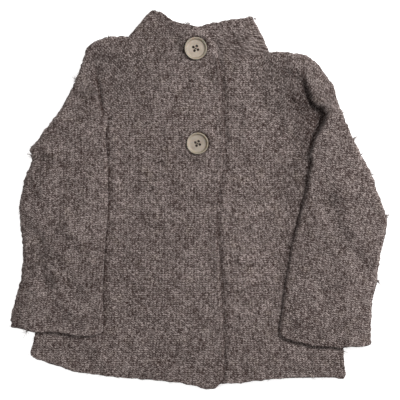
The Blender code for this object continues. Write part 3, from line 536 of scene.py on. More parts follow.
def smooth(mesh, sharp_angle=None):
    """Shade a mesh smoothly, apart from edges sharper than an angle in degrees."""
    mesh.polygons.foreach_set("use_smooth", np.ones(len(mesh.polygons), bool))
    if sharp_angle is not None:
        mesh.set_sharp_from_angle(angle=math.radians(sharp_angle))


def add_piece(name, mesh, material, node=None):
    """Put a finished mesh in the scene, riding on the part and standing for its CAD node."""
    mesh.materials.append(material)
    item = bpy.data.objects.new(name, mesh)
    bpy.context.scene.collection.objects.link(item)
    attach(item, "root")
    if node:
        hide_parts(node)
    return item


def lean_run(table, low, high):
    """Heights from low to high, one each mm, and a stitch column's sideways run at each, from its lean."""
    rows = np.asarray(table, float)
    line = np.linspace(low, high, int(high - low) + 1)
    slope = np.tan(np.radians(np.interp(line, rows[:, 0], rows[:, 1])))
    return line, np.concatenate([[0.0], np.cumsum(0.5 * (slope[1:] + slope[:-1]))])


def lean_shift(y, table):
    """Sideways run of a stitch column at height y, from the table of its lean."""
    return np.interp(y, *lean_run(table, -210, 210))


def flat_stitches(plan, lean):
    """Stitch counts across and along a flat piece whose columns lean by a table."""
    across = plan[..., 0] + lean_shift(plan[..., 1], lean)
    return np.stack([across / WALE, plan[..., 1] / COURSE], axis=-1)


def sleeve_stitches(plan, knit, inside_crease, mirror):
    """Stitch counts on a sleeve: straight along the cap, round a bend at the pivot, along the arm.

    Each length is measured from the pivot; mirror is -1 for the left sleeve, worked as a right one.
    """
    pivot_x, pivot_y, cap, arm, further = knit
    x, y = plan[..., 0] * mirror - pivot_x, plan[..., 1] - pivot_y

    def measured(lean):
        """Distances out from the pivot and up from it, for columns that lean by an angle."""
        return -(x * math.cos(lean) + y * math.sin(lean)), y * math.cos(lean) - x * math.sin(lean)

    bend = math.radians(arm) - math.radians(cap)
    out_cap, up_cap = measured(math.radians(cap))
    out_arm, up_arm = measured(math.radians(arm))
    turn = np.arctan2(-up_cap, out_cap)
    line, run = lean_run(further, -40, 300)
    across_arm = out_arm + (np.interp(-up_arm, line, run) - np.interp(0.0, line, run))
    on_cap = inside_crease | ((turn < 0.0) & (turn > -2.6))
    on_bend = ~on_cap & (turn >= 0.0) & (turn <= bend)
    across = np.where(on_cap, out_cap, np.where(on_bend, np.hypot(x, y), across_arm))
    along = np.where(on_cap, up_cap, np.where(on_bend, -BEND_RADIUS * turn, up_arm - BEND_RADIUS * bend))
    return np.stack([across * mirror / WALE, along / COURSE], axis=-1)


def sleeve_inner_line(table):
    """The inner points of a sleeve's stations."""
    return np.asarray(table, float)[:, 2:]


def side_line(side, inner_line, underarm_row):
    """Side edge of a body panel: hem corner, side, underarm, hidden armhole, then the raglan seam."""
    seam = inner_line[:underarm_row + 1][::-1].copy()
    outward = np.array(side[-1]) - seam[0]
    outward = outward / np.linalg.norm(outward)
    seam[0] += TUCK * outward
    seam[1] += 0.4 * TUCK * outward
    hidden = smooth_line(side[SIDE_UNDERARM:] + [tuple(seam[0])], 5)[1:-1]
    lower = smooth_line(side[:SIDE_UNDERARM + 1], SIDE_ROWS - len(hidden) - len(seam))
    return np.vstack([lower, hidden, seam])


def matched_edge(table, side, neck_y):
    """Centre edge sampled in step with a side line, as shares of the height from hem to neck."""
    line = smooth_line(table, 400)
    share = (side[:, 1] - side[0, 1]) / (side[-1, 1] - side[0, 1])
    share = np.maximum.accumulate(share + np.linspace(0.0, 1e-4, len(share)))
    share = (share - share[0]) / (share[-1] - share[0])
    heights = line[0, 1] + share * (neck_y - line[0, 1])
    order = np.argsort(line[:, 1])
    return np.stack([np.interp(heights, line[order, 1], line[order, 0]), heights], axis=1)


def pressed(plan):
    """Share of its loose height that the front keeps: 1 in the open, a quarter where a sleeve lies on it."""
    share = np.ones(plan.shape[:-1])
    for table, row, side in ((RIGHT_SLEEVE, RIGHT_UNDERARM_ROW, -1.0), (LEFT_SLEEVE, LEFT_UNDERARM_ROW, 1.0)):
        line = sleeve_inner_line(table)[row:][::-1]
        edge = np.interp(plan[..., 1], line[:, 1], line[:, 0])
        under = soft_step(((plan[..., 0] - edge) * side + PRESS_SIDE[0]) / PRESS_SIDE[1])
        under = under * soft_step((line[-1, 1] + PRESS_TOP[0] - plan[..., 1]) / PRESS_TOP[1])
        share -= PRESS * under * soft_step((plan[..., 1] - line[0, 1] + PRESS_CUFF[0]) / PRESS_CUFF[1])
    return share


def cloth_wave(plan):
    """Loose lie of the upper cloth over the back: low unevenness with the soft folds, never below zero."""
    height = LOFT + 0.4 * lumps(plan, 34.0, 3) + 0.28 * lumps(plan, 17.0, 4)
    height = height + fold_height(plan, DRAG_FOLDS + BODY_FOLDS)
    for _, x, y, *_ in BUTTONS:
        away = np.hypot(plan[..., 0] - x, plan[..., 1] - y)
        height += PUFF[0] * np.exp(-((away - PUFF[1]) / PUFF[2]) ** 2)
        height -= DIP[0] * np.exp(-(away / DIP[1]) ** 8)
    return 0.5 * (height + np.sqrt(height * height + 0.05)) * pressed(plan)


def front_height(plan, over):
    """Underside height of a front: over the back, raised where it laps over the other front.

    The lap's edge is rolled up a little, and the front under it dips beside that edge.
    """
    height = FRONT_FLOOR + cloth_wave(plan)
    bulge, distance, reach = LAP_ROLL if over else LAP_DIP
    bulge = bulge * np.exp(-((distance_to_line(plan, LAP_LINE) - distance) / reach) ** 2)
    if over:
        return height + LAYER * soft_step((plan[..., 0] - LAP_RISE[0]) / LAP_RISE[1]) + bulge
    return np.maximum(height - bulge, FRONT_FLOOR - 0.2)


def panel(node, patch, over, lean, material, seam_at, hollow):
    """A front as a flat knit panel: its patch's plan, its underside's height, stitches leaning by a table.

    Its free edges are rounded. The raglan seam, along the side seam_at from underarm to neck, and the neck
    seam are left square, to meet the next piece flush.
    """
    plan, across, along, width, _, v = patch_grid(patch, ACROSS, ALONG)
    sides = [across, width - across]
    side, seam_row = seam_at
    sides[side] = sides[side] + 50.0 * soft_step((v * (len(patch.low) - 1) - seam_row + 2.0) / 2.0)
    near = np.minimum(np.minimum(*sides), along)
    half = 0.5 * WALL * rim_round(near)
    plan = plan + sway(plan) * np.exp(-near / SWAY_REACH)[..., None]
    middle = front_height(plan, over) + 0.5 * WALL
    stitches = flat_stitches(plan, lean)
    top = middle + half + (knit_relief(stitches, plan) - MEAN_RELIEF) * soft_step(near / 1.6)
    outer = np.dstack([plan, top])
    inner = np.dstack([plan, middle - half])[::SKIP, ::SKIP]
    # The hollow values are painted shade in the front's grooves, for the material to darken by
    mesh = shell_mesh(node + "_knit", outer, inner, stitches, hollow(plan))
    return add_piece(node + "_knit", mesh, material, node)


def make_back(right_side, left_side, material):
    """The back panel, flat on the table: its knit shows on the underside."""
    hem = smooth_line(BACK_HEM)
    right, left = right_side.copy(), left_side.copy()
    right[0], left[0] = hem[0], hem[-1]
    patch = Patch(right, left, hem, smooth_line(BACK_NECK))
    plan, across, along, width, run, _ = patch_grid(patch, *BACK_STEPS)
    near = np.minimum(np.minimum(across, width - across), np.minimum(along, run - along))
    wall = rim_round(near)
    stitches = flat_stitches(plan * [-1.0, 1.0], BACK_LEAN)
    dimple = 0.12 * (1.0 - np.cos(math.tau * stitches[..., 0])) * soft_step(near / 4.0)
    outer = np.dstack([plan, 0.5 * WALL * (1.0 - wall) + dimple])
    inner = np.dstack([plan, 0.5 * WALL * (1.0 + wall)])[::SKIP, ::SKIP]
    mesh = shell_mesh("back_knit", outer, inner, stitches, np.zeros(near.shape))
    return add_piece("back_knit", mesh, material, "back")


def make_fronts(right_side, left_side, material):
    """The two fronts: the right one laps over the left one at the centre."""
    def right_painted_shade(plan):
        """Painted shade in the groove along the right sleeve and at the lap's own edge."""
        edge = 0.9 * np.exp(-(distance_to_line(plan, LAP_LINE) / 1.3) ** 2)
        return np.maximum(under_sleeve_painted_shade(plan, RIGHT_SLEEVE, RIGHT_UNDERARM_ROW, (1.2, 1.2)), edge)

    def left_painted_shade(plan):
        """Painted shade in the groove beside the lap and in the one along the left sleeve."""
        sleeve = under_sleeve_painted_shade(plan, LEFT_SLEEVE, LEFT_UNDERARM_ROW, (0.6, 0.2))
        return np.maximum(lap_painted_shade(plan), sleeve)

    edge = matched_edge(RIGHT_EDGE, right_side, RIGHT_NECK[-1][1])
    patch = Patch(right_side, edge, smooth_line(RIGHT_HEM), smooth_line(RIGHT_NECK))
    right = panel("front_right", patch, True, RIGHT_FRONT_LEAN, material,
                  (0, SIDE_ROWS - RIGHT_UNDERARM_ROW - 1), right_painted_shade)
    edge = matched_edge(LEFT_EDGE, left_side, LEFT_NECK[0][1])
    patch = Patch(edge, left_side, smooth_line(LEFT_HEM), smooth_line(LEFT_NECK))
    left = panel("front_left", patch, False, LEFT_FRONT_LEAN, material,
                 (1, SIDE_ROWS - LEFT_UNDERARM_ROW - 1), left_painted_shade)
    return right, left


def under_sleeve_painted_shade(plan, sleeve, underarm_row, depth):
    """Painted shade in the groove where a sleeve's folded edge meets the front, given at its top and at the
    cuff.
    """
    amount = depth[1] + (depth[0] - depth[1]) * soft_step((plan[..., 1] - GROOVE_RISE[0]) / GROOVE_RISE[1])
    amount = np.clip(amount * (1.0 + 0.5 * lumps(plan, 14.0, 9)), 0.0, 1.6)
    away = distance_to_line(plan, sleeve_inner_line(sleeve)[underarm_row:])
    return amount * np.exp(-(away / GROOVE_REACH) ** 2)


def lap_painted_shade(plan):
    """Painted shade in the groove beside the lap's edge, from 1 at the edge to 0, broken up unevenly."""
    broken = 0.85 + 0.5 * lumps(plan, 12.0, 8) - 0.35 * soft_step((plan[..., 1] - LAP_FADE[0]) / LAP_FADE[1])
    return np.clip(broken, 0.0, 1.5) * np.exp(-(distance_to_line(plan, LAP_LINE) / LAP_GROOVE_REACH) ** 2)


class Sleeve:
    """One flattened sleeve tube and the heights of its two layers over the table and the body."""

    def __init__(self, table, cuff, underarm_row, body_side, crease, stand, knit, mirror, seed):
        values = np.asarray(table, float)
        inner_line = values[:, 2:]
        folded = inner_line[underarm_row:]
        self.rows, self.underarm = len(values), underarm_row
        self.knit, self.mirror, self.seed = knit, mirror, seed
        self.fade, (share_out, way_out), self.cap_lift = stand
        self.neck_line = np.linspace(values[0, :2], values[0, 2:], 60)
        self.cuff_line = smooth_line(cuff, 60)
        self.seam_line = inner_line[:underarm_row + 1]
        self.patch = Patch(values[:, :2], inner_line, self.neck_line, smooth_line(cuff))
        self.covered = np.vstack([body_side[:SIDE_ROWS - underarm_row - 1], folded * [0.4, 1.0]])
        line = np.array(crease, float)
        line[:, 0] += np.sign(line[:, 0]) * (line[:, 2] * share_out + way_out)
        edge = np.column_stack([folded, np.full(len(folded), crease[-1][2]),
                                np.linspace(crease[-1][3], CUFF_CREST, len(folded))])
        line = np.vstack([line, edge])
        self.crease = curve_at(line, np.linspace(0, len(line) - 1, 240))

    def along_crease(self, plan, column):
        """A column of the crease's table, such as its overhang, at each height of the garment."""
        order = np.argsort(self.crease[:, 1])
        return np.interp(plan[..., 1], self.crease[order, 1], self.crease[order, column])

    def crease_fade(self, plan):
        """Share of the crease that stands at each height: none at the shoulder, all further down."""
        start, full = self.fade
        return soft_step((start - plan[..., 1]) / (start - full))

    def beyond(self, plan):
        """Signed distance past the crease, positive on the sleeve's outer side."""
        near = distance_to_line(plan, self.crease[::5, :2])
        return np.where(np.abs(plan[..., 0]) >= np.abs(self.along_crease(plan, 0)), near, -near)

    def outside(self, plan):
        """Distance outside the part of the body that the sleeve lies over."""
        away = distance_to_line(plan, np.vstack([self.covered, self.covered[:1]]))
        return np.where(is_inside(plan, self.covered), 0.0, away)

    def floor(self, plan):
        """Height of the under face: on the table outside the body, over the front on it."""
        over = OVER_FRONT + cloth_wave(plan)
        return over * soft_step((FLOOR_REACH - self.outside(plan)) / FLOOR_RAMP)

    def heights(self, plan):
        """Under and upper face heights, and how far each point is up the step at the crease."""
        low = self.floor(plan)
        rise = SLEEVE_HEIGHT_OVER_BODY - SLEEVE_HEIGHT_AT_EDGE
        wave = 0.5 * lumps(plan, 36.0, self.seed) + 0.35 * lumps(plan, 18.0, self.seed + 1)
        high = SLEEVE_HEIGHT_AT_EDGE + rise * soft_step(1.0 - self.outside(plan) / SLEEVE_FALL)
        high = high + fold_height(plan, SLEEVE_FOLDS) + wave
        beyond = self.beyond(plan)
        crest = self.along_crease(plan, 3)
        high = high + (crest - high) * np.exp(-(np.maximum(beyond, 0.0) / CREST_REACH) ** 2)
        at_cuff = np.exp(-(distance_to_line(plan, self.cuff_line) / CUFF_REACH) ** 2)
        high = high - CUFF_FALL * at_cuff
        walls = 2 * WALL * (SQUASH + (CUFF_SQUASH - SQUASH) * at_cuff)
        fade = self.crease_fade(plan)
        step = soft_step(1.0 + beyond / (CREASE_WIDTH + SHOULDER_WIDTH * (1.0 - fade)))
        from_neck = soft_step(distance_to_line(plan, self.neck_line) / SHOULDER_EASE)
        from_seam = soft_step(distance_to_line(plan, self.seam_line) / SEAM_EASE)
        lift = self.cap_lift * np.exp(-((beyond + CREASE_WIDTH) / CAP_LIFT_REACH) ** 2)
        lift = lift * (1.0 - np.exp(-((beyond + CREASE_WIDTH) / 2.6) ** 2))
        cap = front_height(plan, False) + WALL + lift * fade * from_neck * from_seam
        top = cap + (high - cap) * step * from_neck
        top = np.maximum(top, (low + walls) * step * from_neck)
        return np.minimum(low, top - walls), np.maximum(top, walls + MIN_HOLLOW), step * fade

    def groove(self, plan):
        """Painted shade by the crease: narrow all along it, a broad painted shadow on the cap under a high
        crest.
        """
        beside = self.beyond(plan) + CREASE_WIDTH
        stand = np.maximum(self.along_crease(plan, 3) - LOW_CREST, 0.0)
        narrow = np.exp(-(beside / (2.2 + stand * np.where(beside < 0.0, 0.6, 0.1))) ** 2)
        broad = np.exp(-(beside / (3.0 + 2.6 * stand)) ** 2) * np.clip(stand / 5.0, 0.0, 0.75)
        return np.maximum(narrow, broad * (beside < 0.0)) * self.crease_fade(plan)


def row_lengths(grid):
    """Running length along each row of a grid of points."""
    step = np.linalg.norm(np.diff(grid, axis=1), axis=-1)
    return np.concatenate([np.zeros((len(grid), 1)), np.cumsum(step, axis=1)], axis=1)


def sleeve_grid(sleeve, v, inset, relief):
    """Points, stitch counts and painted shade of a sleeve's rings, on its outer face or inset into the wall.

    Each ring starts at the inner end and runs over the top, round the outer fold and back beneath. Distances
    are from the outer edge, and more of them fall on the cap, up to a little past the crease.
    """
    rows = len(v)
    station = v * (sleeve.rows - 1)
    closed = np.clip(station - sleeve.underarm + 1.0, 0.0, 1.0)
    fold = SLEEVE_FOLD_WIDTH
    fine_u = np.linspace(0.0, 1.0, 240)
    base = sleeve.patch.at(fine_u[None, :], v[:, None])
    run = row_lengths(base)
    width = run[:, -1]
    on_cap = (sleeve.beyond(base) < -CREASE_WIDTH) & (closed[:, None] < 1.0)
    crease_at = np.where(on_cap.any(axis=1), run[np.arange(rows), on_cap.argmax(axis=1)], width)
    reach = np.minimum(np.maximum(width - crease_at + PAST_CREASE, CAP_LEAST), width - 2 * fold)
    arc, cap, arm, outer, under = RING_COUNTS
    quarter = np.linspace(1.0, 0.0, arc + 1)[:-1]
    half = np.linspace(0.0, 1.0, outer + 1)[1:-1]
    top_at = np.hstack([np.linspace(width - fold, width - reach, cap + 1, axis=1)[:, :-1],
                        np.linspace(width - reach, fold, arm + 1, axis=1)])
    back_at = np.linspace(fold, width - fold, under + 1, axis=1)

    def plan_at(distance):
        """Plan points at distances from the outer edge, row by row."""
        share = np.stack([np.interp(distance[r], run[r], fine_u) for r in range(rows)])
        return sleeve.patch.at(share, v[:, None])

    inset = inset[:, None]
    width_c, closed_c = width[:, None], closed[:, None]

    def face(plan, upper):
        """Height of the upper or the under face of a layer at plan points, inset into the wall."""
        low, top, _ = sleeve.heights(plan)
        hollow = np.clip(top - low - 2 * WALL, MIN_HOLLOW, MAX_HOLLOW)
        hollow = np.minimum(hollow, top - low - WALL - THIN_WALL)
        inner_top = low + WALL + hollow
        if upper:
            return top + (inner_top - top) * inset / WALL
        return low + inset

    def inner_end(shares, upper):
        """A half of the inner end, free or folded, up to the flat upper layer or down to the under one."""
        angle = 0.5 * math.pi * shares[None, :]
        anchor = plan_at(np.repeat(width_c - fold, len(shares), axis=1))
        low, top = face(anchor, False), face(anchor, True)
        centre = low + 0.3 * (top - low)
        round_at = width_c - fold + (fold - inset) * np.sin(angle)
        end = top if upper else low
        round_z = centre + (end - centre) * np.cos(angle)
        flat_at = width_c - fold + fold * shares[None, :]
        flat_z = face(plan_at(flat_at), upper)
        place = closed_c * round_at + (1 - closed_c) * flat_at
        plan = plan_at(place)
        return plan, closed_c * round_z + (1 - closed_c) * flat_z

    plan_a, z_a = inner_end(quarter, True)
    plan_b = plan_at(top_at)
    z_b = face(plan_b, True)
    angle = math.pi * half[None, :]
    anchor = plan_at(np.full((rows, len(half)), fold))
    low, top = face(anchor, False), face(anchor, True)
    plan_c = plan_at(fold - (fold - inset) * np.sin(angle))
    z_c = 0.5 * (low + top) + 0.5 * (top - low) * np.cos(angle)
    plan_d = plan_at(back_at)
    z_d = face(plan_d, False)
    plan_e, z_e = inner_end(quarter[::-1], False)
    plan = np.concatenate([plan_a, plan_b, plan_c, plan_d, plan_e], axis=1)
    z = np.concatenate([z_a, z_b, z_c, z_d, z_e], axis=1)

    # Lean the fold out over the cap, most at two thirds of its height
    upper_count = len(quarter) + top_at.shape[1]
    upper = plan[:, :upper_count]
    step_share = sleeve.heights(upper)[2]
    outer_edge = plan_at(np.zeros((rows, 1)))
    toward = plan_at(width_c)[:, 0] - outer_edge[:, 0]
    toward = toward / np.linalg.norm(toward, axis=1, keepdims=True)
    lean = np.sin(math.pi * np.clip(step_share, 0, 1) ** 1.6)
    lean = lean - 0.35 * np.sin(math.pi * (1 - step_share) ** 2)
    lean = lean * sleeve.along_crease(upper, 2) * (1.0 - closed_c * 0.75)
    upper = upper + toward[:, None, :] * lean[..., None]

    inside = (sleeve.beyond(plan) < -0.5 * CREASE_WIDTH) & (station[:, None] < sleeve.underarm + 0.5)
    uv = sleeve_stitches(plan, sleeve.knit, inside, sleeve.mirror)
    edge_uv = sleeve_stitches(outer_edge, sleeve.knit, np.zeros((rows, 1), bool), sleeve.mirror)
    middle = upper_count + len(half) // 2
    uv[:, middle + 1:, 0] = 2 * edge_uv[:, :, 0] - uv[:, middle + 1:, 0]
    shifted = plan.copy()
    shifted[:, :upper_count] = upper
    edge_distance = np.linalg.norm(plan - outer_edge, axis=-1)
    cuff_distance = (1.0 - v[:, None]) * lengths(sleeve.patch.at(0.5, np.linspace(0, 1, 60)))[-1]
    near = np.minimum(edge_distance, cuff_distance)
    shifted = shifted + sway(plan) * np.exp(-near / SWAY_REACH)[..., None]
    grid = np.dstack([shifted, z])
    # Painted shade beside the crease, and on the lower half of the sleeve's folded inner edge
    crease_shade = sleeve.groove(plan) * (1.0 - closed_c)
    crease_shade[:, :len(quarter)] = np.maximum(crease_shade[:, :len(quarter)], 0.6 * (closed_c > 0.999) * quarter ** 2)
    crease_shade[:, upper_count:] = 0.0
    if relief:
        normal = grid_normals(grid)
        outward = normal * np.where(normal[:, len(quarter) + 20, 2:3] < 0, -1.0, 1.0)[:, :, None]
        amount = knit_relief(uv, plan) - MEAN_RELIEF
        fade = np.ones(grid.shape[:2])
        fade[:, upper_count + len(half):] = 0.0
        fade[:, :3] = 0.0
        grid = grid + outward * (amount * fade)[..., None]
    return grid, uv, crease_shade


def make_sleeve(node, sleeve, material):
    """A sleeve's shell: fine rings outside, every fourth one inside, the cuff's edge rounded."""
    along, run, v = row_places(sleeve.patch, ALONG)
    inset = 0.5 * WALL * (1 - rim_round(run - along))
    grid, uv, crease_shade = sleeve_grid(sleeve, v, inset, True)
    inner = sleeve_grid(sleeve, v, WALL - inset, False)[0]
    weld = int(np.searchsorted(v * (sleeve.rows - 1), sleeve.underarm))
    weld = int(math.ceil(weld / SKIP) * SKIP)
    mesh = shell_mesh(node + "_knit", grid, inner[::SKIP, ::SKIP], uv, crease_shade, weld)
    return add_piece(node + "_knit", mesh, material, node)


def make_collar(material):
    """The collar band: right front end on top, right fold, back, left fold, left end under it."""
    rise = np.linspace(1.0, 0.0, 9)[:, None]
    right_fold, left_fold = smooth_line(COLLAR_RIGHT_FOLD, 9), smooth_line(COLLAR_LEFT_FOLD, 9)
    right_side = right_fold + COLLAR_FOLD * np.hstack([np.ones((9, 1)), RIGHT_NECK_SLOPE * rise])
    left_side = left_fold + COLLAR_FOLD * np.hstack([-np.ones((9, 1)), -LEFT_NECK_SLOPE * rise])
    right = Patch(right_side, smooth_line(COLLAR_RIGHT_EDGE, 9),
                  np.vstack([COLLAR_RIGHT_FOLD[0], smooth_line(RIGHT_NECK)]), smooth_line(COLLAR_TOP_RIGHT))
    left = Patch(smooth_line(COLLAR_LEFT_EDGE, 9), left_side,
                 np.vstack([smooth_line(LEFT_NECK), COLLAR_LEFT_FOLD[0]]), smooth_line(COLLAR_TOP_LEFT))
    back = Patch(right_side, left_side,
                 np.vstack([COLLAR_RIGHT_FOLD[0], smooth_line(BACK_NECK), COLLAR_LEFT_FOLD[0]]),
                 smooth_line(COLLAR_TOP_BACK))
    along = edge_spacing(COLLAR_HEIGHT, ALONG)
    v = (along / COLLAR_HEIGHT)[:, None]
    edge_left = rim_round(COLLAR_HEIGHT - along)[:, None]
    arcs = np.linspace(0.0, math.pi, 13)[1:-1]
    up = np.array([0.0, 0.0, 1.0])

    def layer(plan, height, out, share):
        """The wall's middle, its outward direction and the share of the wall left, of equal shape."""
        middle = np.dstack([plan, height])
        return middle, np.broadcast_to(out, middle.shape), np.broadcast_to(share, middle.shape[:2])

    def front(patch, count, over, free_first):
        """A front layer, with the round of its free end."""
        distance = edge_spacing(count * ACROSS, ACROSS)
        plan = patch.at((distance / distance[-1])[None, :], v)
        end = distance if free_first else distance[-1] - distance
        share = np.minimum(edge_left, rim_round(end)[None, :])
        return layer(plan, front_height(plan, over) + 0.5 * WALL, up, share)

    def bend(line, side, mid_top, slope):
        """The wall round a side fold."""
        edge = curve_at(line, v[:, 0] * (len(line) - 1))
        centre_z = 0.5 * (mid_top + 0.5 * WALL)
        half_z = 0.5 * (mid_top - 0.5 * WALL)
        x = edge[:, :1] - side * COLLAR_FOLD + side * (COLLAR_FOLD - 0.5 * WALL) * np.sin(arcs)[None, :]
        y = edge[:, 1:] + (x - edge[:, :1]) * slope * (1.0 - v)
        z = centre_z[:, None] + half_z[:, None] * np.cos(arcs)[None, :]
        out = np.stack([side * np.sin(arcs), np.zeros(len(arcs)), np.cos(arcs)], axis=1)
        return layer(np.dstack([x, y]), z, out, edge_left)

    right_end = front(right, 104, True, False)
    left_end = front(left, 88, False, True)
    plan = back.at(np.linspace(0.0, 1.0, 41)[None, :], v)
    parts = [[grid[:, ::-1] for grid in right_end],
             bend(right_fold, -1.0, right_end[0][:, 0, 2], RIGHT_NECK_SLOPE),
             layer(plan, np.full(plan.shape[:2], 0.5 * WALL), -up, edge_left),
             [grid[:, ::-1] for grid in bend(left_fold, 1.0, left_end[0][:, -1, 2], LEFT_NECK_SLOPE)],
             [grid[:, ::-1] for grid in left_end]]
    middle, out, share = (np.concatenate([part[k] for part in parts], axis=1) for k in range(3))
    columns = middle.shape[1]
    extra = (1 - columns) % SKIP
    if extra:
        keep = np.linspace(0, columns - 1, columns + extra)
        low = np.floor(keep).astype(int)
        high = np.minimum(low + 1, columns - 1)
        t = keep - low
        share = share[:, low] * (1 - t) + share[:, high] * t
        t = t[:, None]
        middle, out = (grid[:, low] * (1 - t) + grid[:, high] * t for grid in (middle, out))
    plan = middle[..., :2]
    across = plan[:, :1, 0] - row_lengths(middle) + lean_shift(plan[..., 1], COLLAR_LEAN)
    stitches = np.dstack([across / WALE, plan[..., 1] / COURSE])
    relief = (knit_relief(stitches, plan) - MEAN_RELIEF) * soft_step((share - 0.6) / 0.4)
    middle[..., :2] += sway(plan) * np.exp(-(COLLAR_HEIGHT - along) / SWAY_REACH)[:, None, None]
    outer = middle + out * (0.5 * WALL * share + relief)[..., None]
    outer[..., 2] = np.maximum(outer[..., 2], 0.0)
    inner = (middle - out * (0.5 * WALL * share)[..., None])[::SKIP, ::SKIP]
    mesh = shell_mesh("collar_knit", outer, inner, stitches, np.zeros(share.shape))
    return add_piece("collar_knit", mesh, material, "collar")


def turned_mesh(profile, sides):
    """A closed body turned about Z from a profile of radius and height pairs, pole to pole."""
    profile = np.asarray(profile, float)
    angle = np.linspace(0.0, math.tau, sides, endpoint=False)
    ring = profile[1:-1]
    x = ring[:, 0, None] * np.cos(angle)
    y = ring[:, 0, None] * np.sin(angle)
    z = np.repeat(ring[:, 1, None], sides, axis=1)
    first, last = (0, 0, profile[0, 1]), (0, 0, profile[-1, 1])
    points = np.vstack([[first], np.dstack([x, y, z]).reshape(-1, 3), [last]])
    index = np.arange(len(ring) * sides).reshape(len(ring), sides) + 1
    wrap = np.hstack([index, index[:, :1]])
    faces = grid_faces(wrap, False).tolist()
    faces += [[0, b, a] for a, b in zip(wrap[0, 1:], wrap[0, :-1])]
    last = len(points) - 1
    faces += [[last, a, b] for a, b in zip(wrap[-1, 1:], wrap[-1, :-1])]
    return points, faces


def joined_mesh(name, bodies):
    """One mesh of several bodies, each given as points and faces."""
    points, faces, start = [], [], 0
    for body_points, body_faces in bodies:
        points.append(body_points)
        faces += [[i + start for i in face] for face in body_faces]
        start += len(body_points)
    mesh = bpy.data.meshes.new(name)
    mesh.from_pydata((np.vstack(points) * MM).tolist(), [], faces)
    return mesh


def button_profile():
    """Half section of a button, pole to pole: dish, slope, rolled rim and the underside's round foot."""
    floor = BUTTON_TOP - BUTTON_DISH
    rim_in = BUTTON_RADIUS - BUTTON_RIM
    slope_in = rim_in - BUTTON_SLOPE
    share = np.linspace(0.0, 1.0, 7)
    slope = [(slope_in + BUTTON_SLOPE * k, floor + (BUTTON_TOP - 0.35 - floor) * soft_step(k))
             for k in share[:-1]]
    half_rim = 0.5 * BUTTON_RIM
    roll = [(BUTTON_RADIUS - half_rim - half_rim * math.cos(a), BUTTON_TOP - 0.8 + 0.8 * math.sin(a))
            for a in np.linspace(0.35, math.pi, 12)]
    foot = [(BUTTON_RADIUS - inset, height) for inset, height in BUTTON_FOOT]
    dish = [(slope_in * part, floor) for part in (0.0, 0.4, 0.8)]
    return dish + slope + roll + foot + [(0.0, 0.0)]


def make_button(name, x, y, turn, tilt, size, plastic, thread):
    """A turned four-hole button with a rolled rim and a sunk dish, and the thread through its holes."""
    blank = bpy.data.objects.new(name + "_blank", joined_mesh(name, [turned_mesh(button_profile(), 72)]))
    angles = np.radians(turn + 90.0 * np.arange(4))
    hole_at = HOLE_OFFSET * np.stack([np.cos(angles), np.sin(angles)], axis=1)
    points, faces = turned_mesh([(0, 9.0), (HOLE_RADIUS, 9.0), (HOLE_RADIUS, -9.0), (0, -9.0)], 20)
    drill = bpy.data.objects.new("drill", joined_mesh("drill", [(points + [cx, cy, 0.0], faces)
                                                               for cx, cy in hole_at]))
    for item in (blank, drill):
        bpy.context.scene.collection.objects.link(item)
    cut = blank.modifiers.new("holes", "BOOLEAN")
    cut.operation = "DIFFERENCE"
    cut.object = drill
    bpy.context.view_layer.update()
    made = bpy.data.meshes.new_from_object(blank.evaluated_get(bpy.context.evaluated_depsgraph_get()))
    bpy.data.objects.remove(blank)
    bpy.data.objects.remove(drill)
    made.name = name + "_mesh"
    place_button(made, x, y, tilt, size)
    smooth(made, 38)
    add_piece(name + "_turned", made, plastic, name)

    floor = BUTTON_TOP - BUTTON_DISH
    strands = [thread_strand(hole_at[0], hole_at[2], floor),
               thread_strand(hole_at[1], hole_at[3], floor + 0.5)]
    mesh = joined_mesh(name + "_thread", strands)
    place_button(mesh, x, y, tilt, size)
    smooth(mesh)
    add_piece(name + "_thread", mesh, thread)


def thread_strand(first, second, floor):
    """A sewing strand that rises from one hole, crosses the dish and goes down the next one."""
    t = np.linspace(0.0, 1.0, 15)
    span = second - first
    path = first + span * (0.16 + 0.68 * soft_step((t - 0.1) / 0.8))[:, None]
    line = np.column_stack([path, floor - 0.1 - 2.6 * np.abs(2 * t - 1) ** 2.4])
    tangent = np.gradient(line, axis=0)
    tangent /= np.linalg.norm(tangent, axis=1, keepdims=True)
    side = np.array([span[1], -span[0], 0.0]) / np.linalg.norm(span)
    lift = np.cross(side, tangent)
    angle = np.linspace(0.0, math.tau, 8, endpoint=False)[None, :, None]
    ring = np.cos(angle) * side + np.sin(angle) * lift[:, None]
    points = (line[:, None] + THREAD_RADIUS * ring).reshape(-1, 3)
    index = np.arange(len(line) * 8).reshape(len(line), 8)
    wrap = np.hstack([index, index[:, :1]])
    faces = grid_faces(wrap, True).tolist()
    faces.append(index[0].tolist())
    faces.append(index[-1][::-1].tolist())
    return points, faces


def place_button(mesh, x, y, tilt, size):
    """Size a button, tilt it about Y and set it on the right front, its low side a little in the felt."""
    points = np.zeros(len(mesh.vertices) * 3)
    mesh.vertices.foreach_get("co", points)
    points = points.reshape(-1, 3) * size
    # Painted shade: share of the olive tint, most on the button's +X side, where the dish wall is turned from
    # the key light
    point_values(mesh, "painted_side_shade", np.clip(0.6 + 0.5 * points[:, 0] / (BUTTON_RADIUS * MM), 0.25, 1.0))
    angle = -math.radians(tilt)
    turned = points.copy()
    turned[:, 0] = points[:, 0] * math.cos(angle) + points[:, 2] * math.sin(angle)
    turned[:, 2] = -points[:, 0] * math.sin(angle) + points[:, 2] * math.cos(angle)
    lift = BUTTON_RADIUS * math.sin(abs(angle)) * 0.3
    turned += np.array([x, y, FRONT_TOP + LAYER + lift + 0.3]) * MM
    mesh.vertices.foreach_set("co", turned.ravel())
    mesh.update()


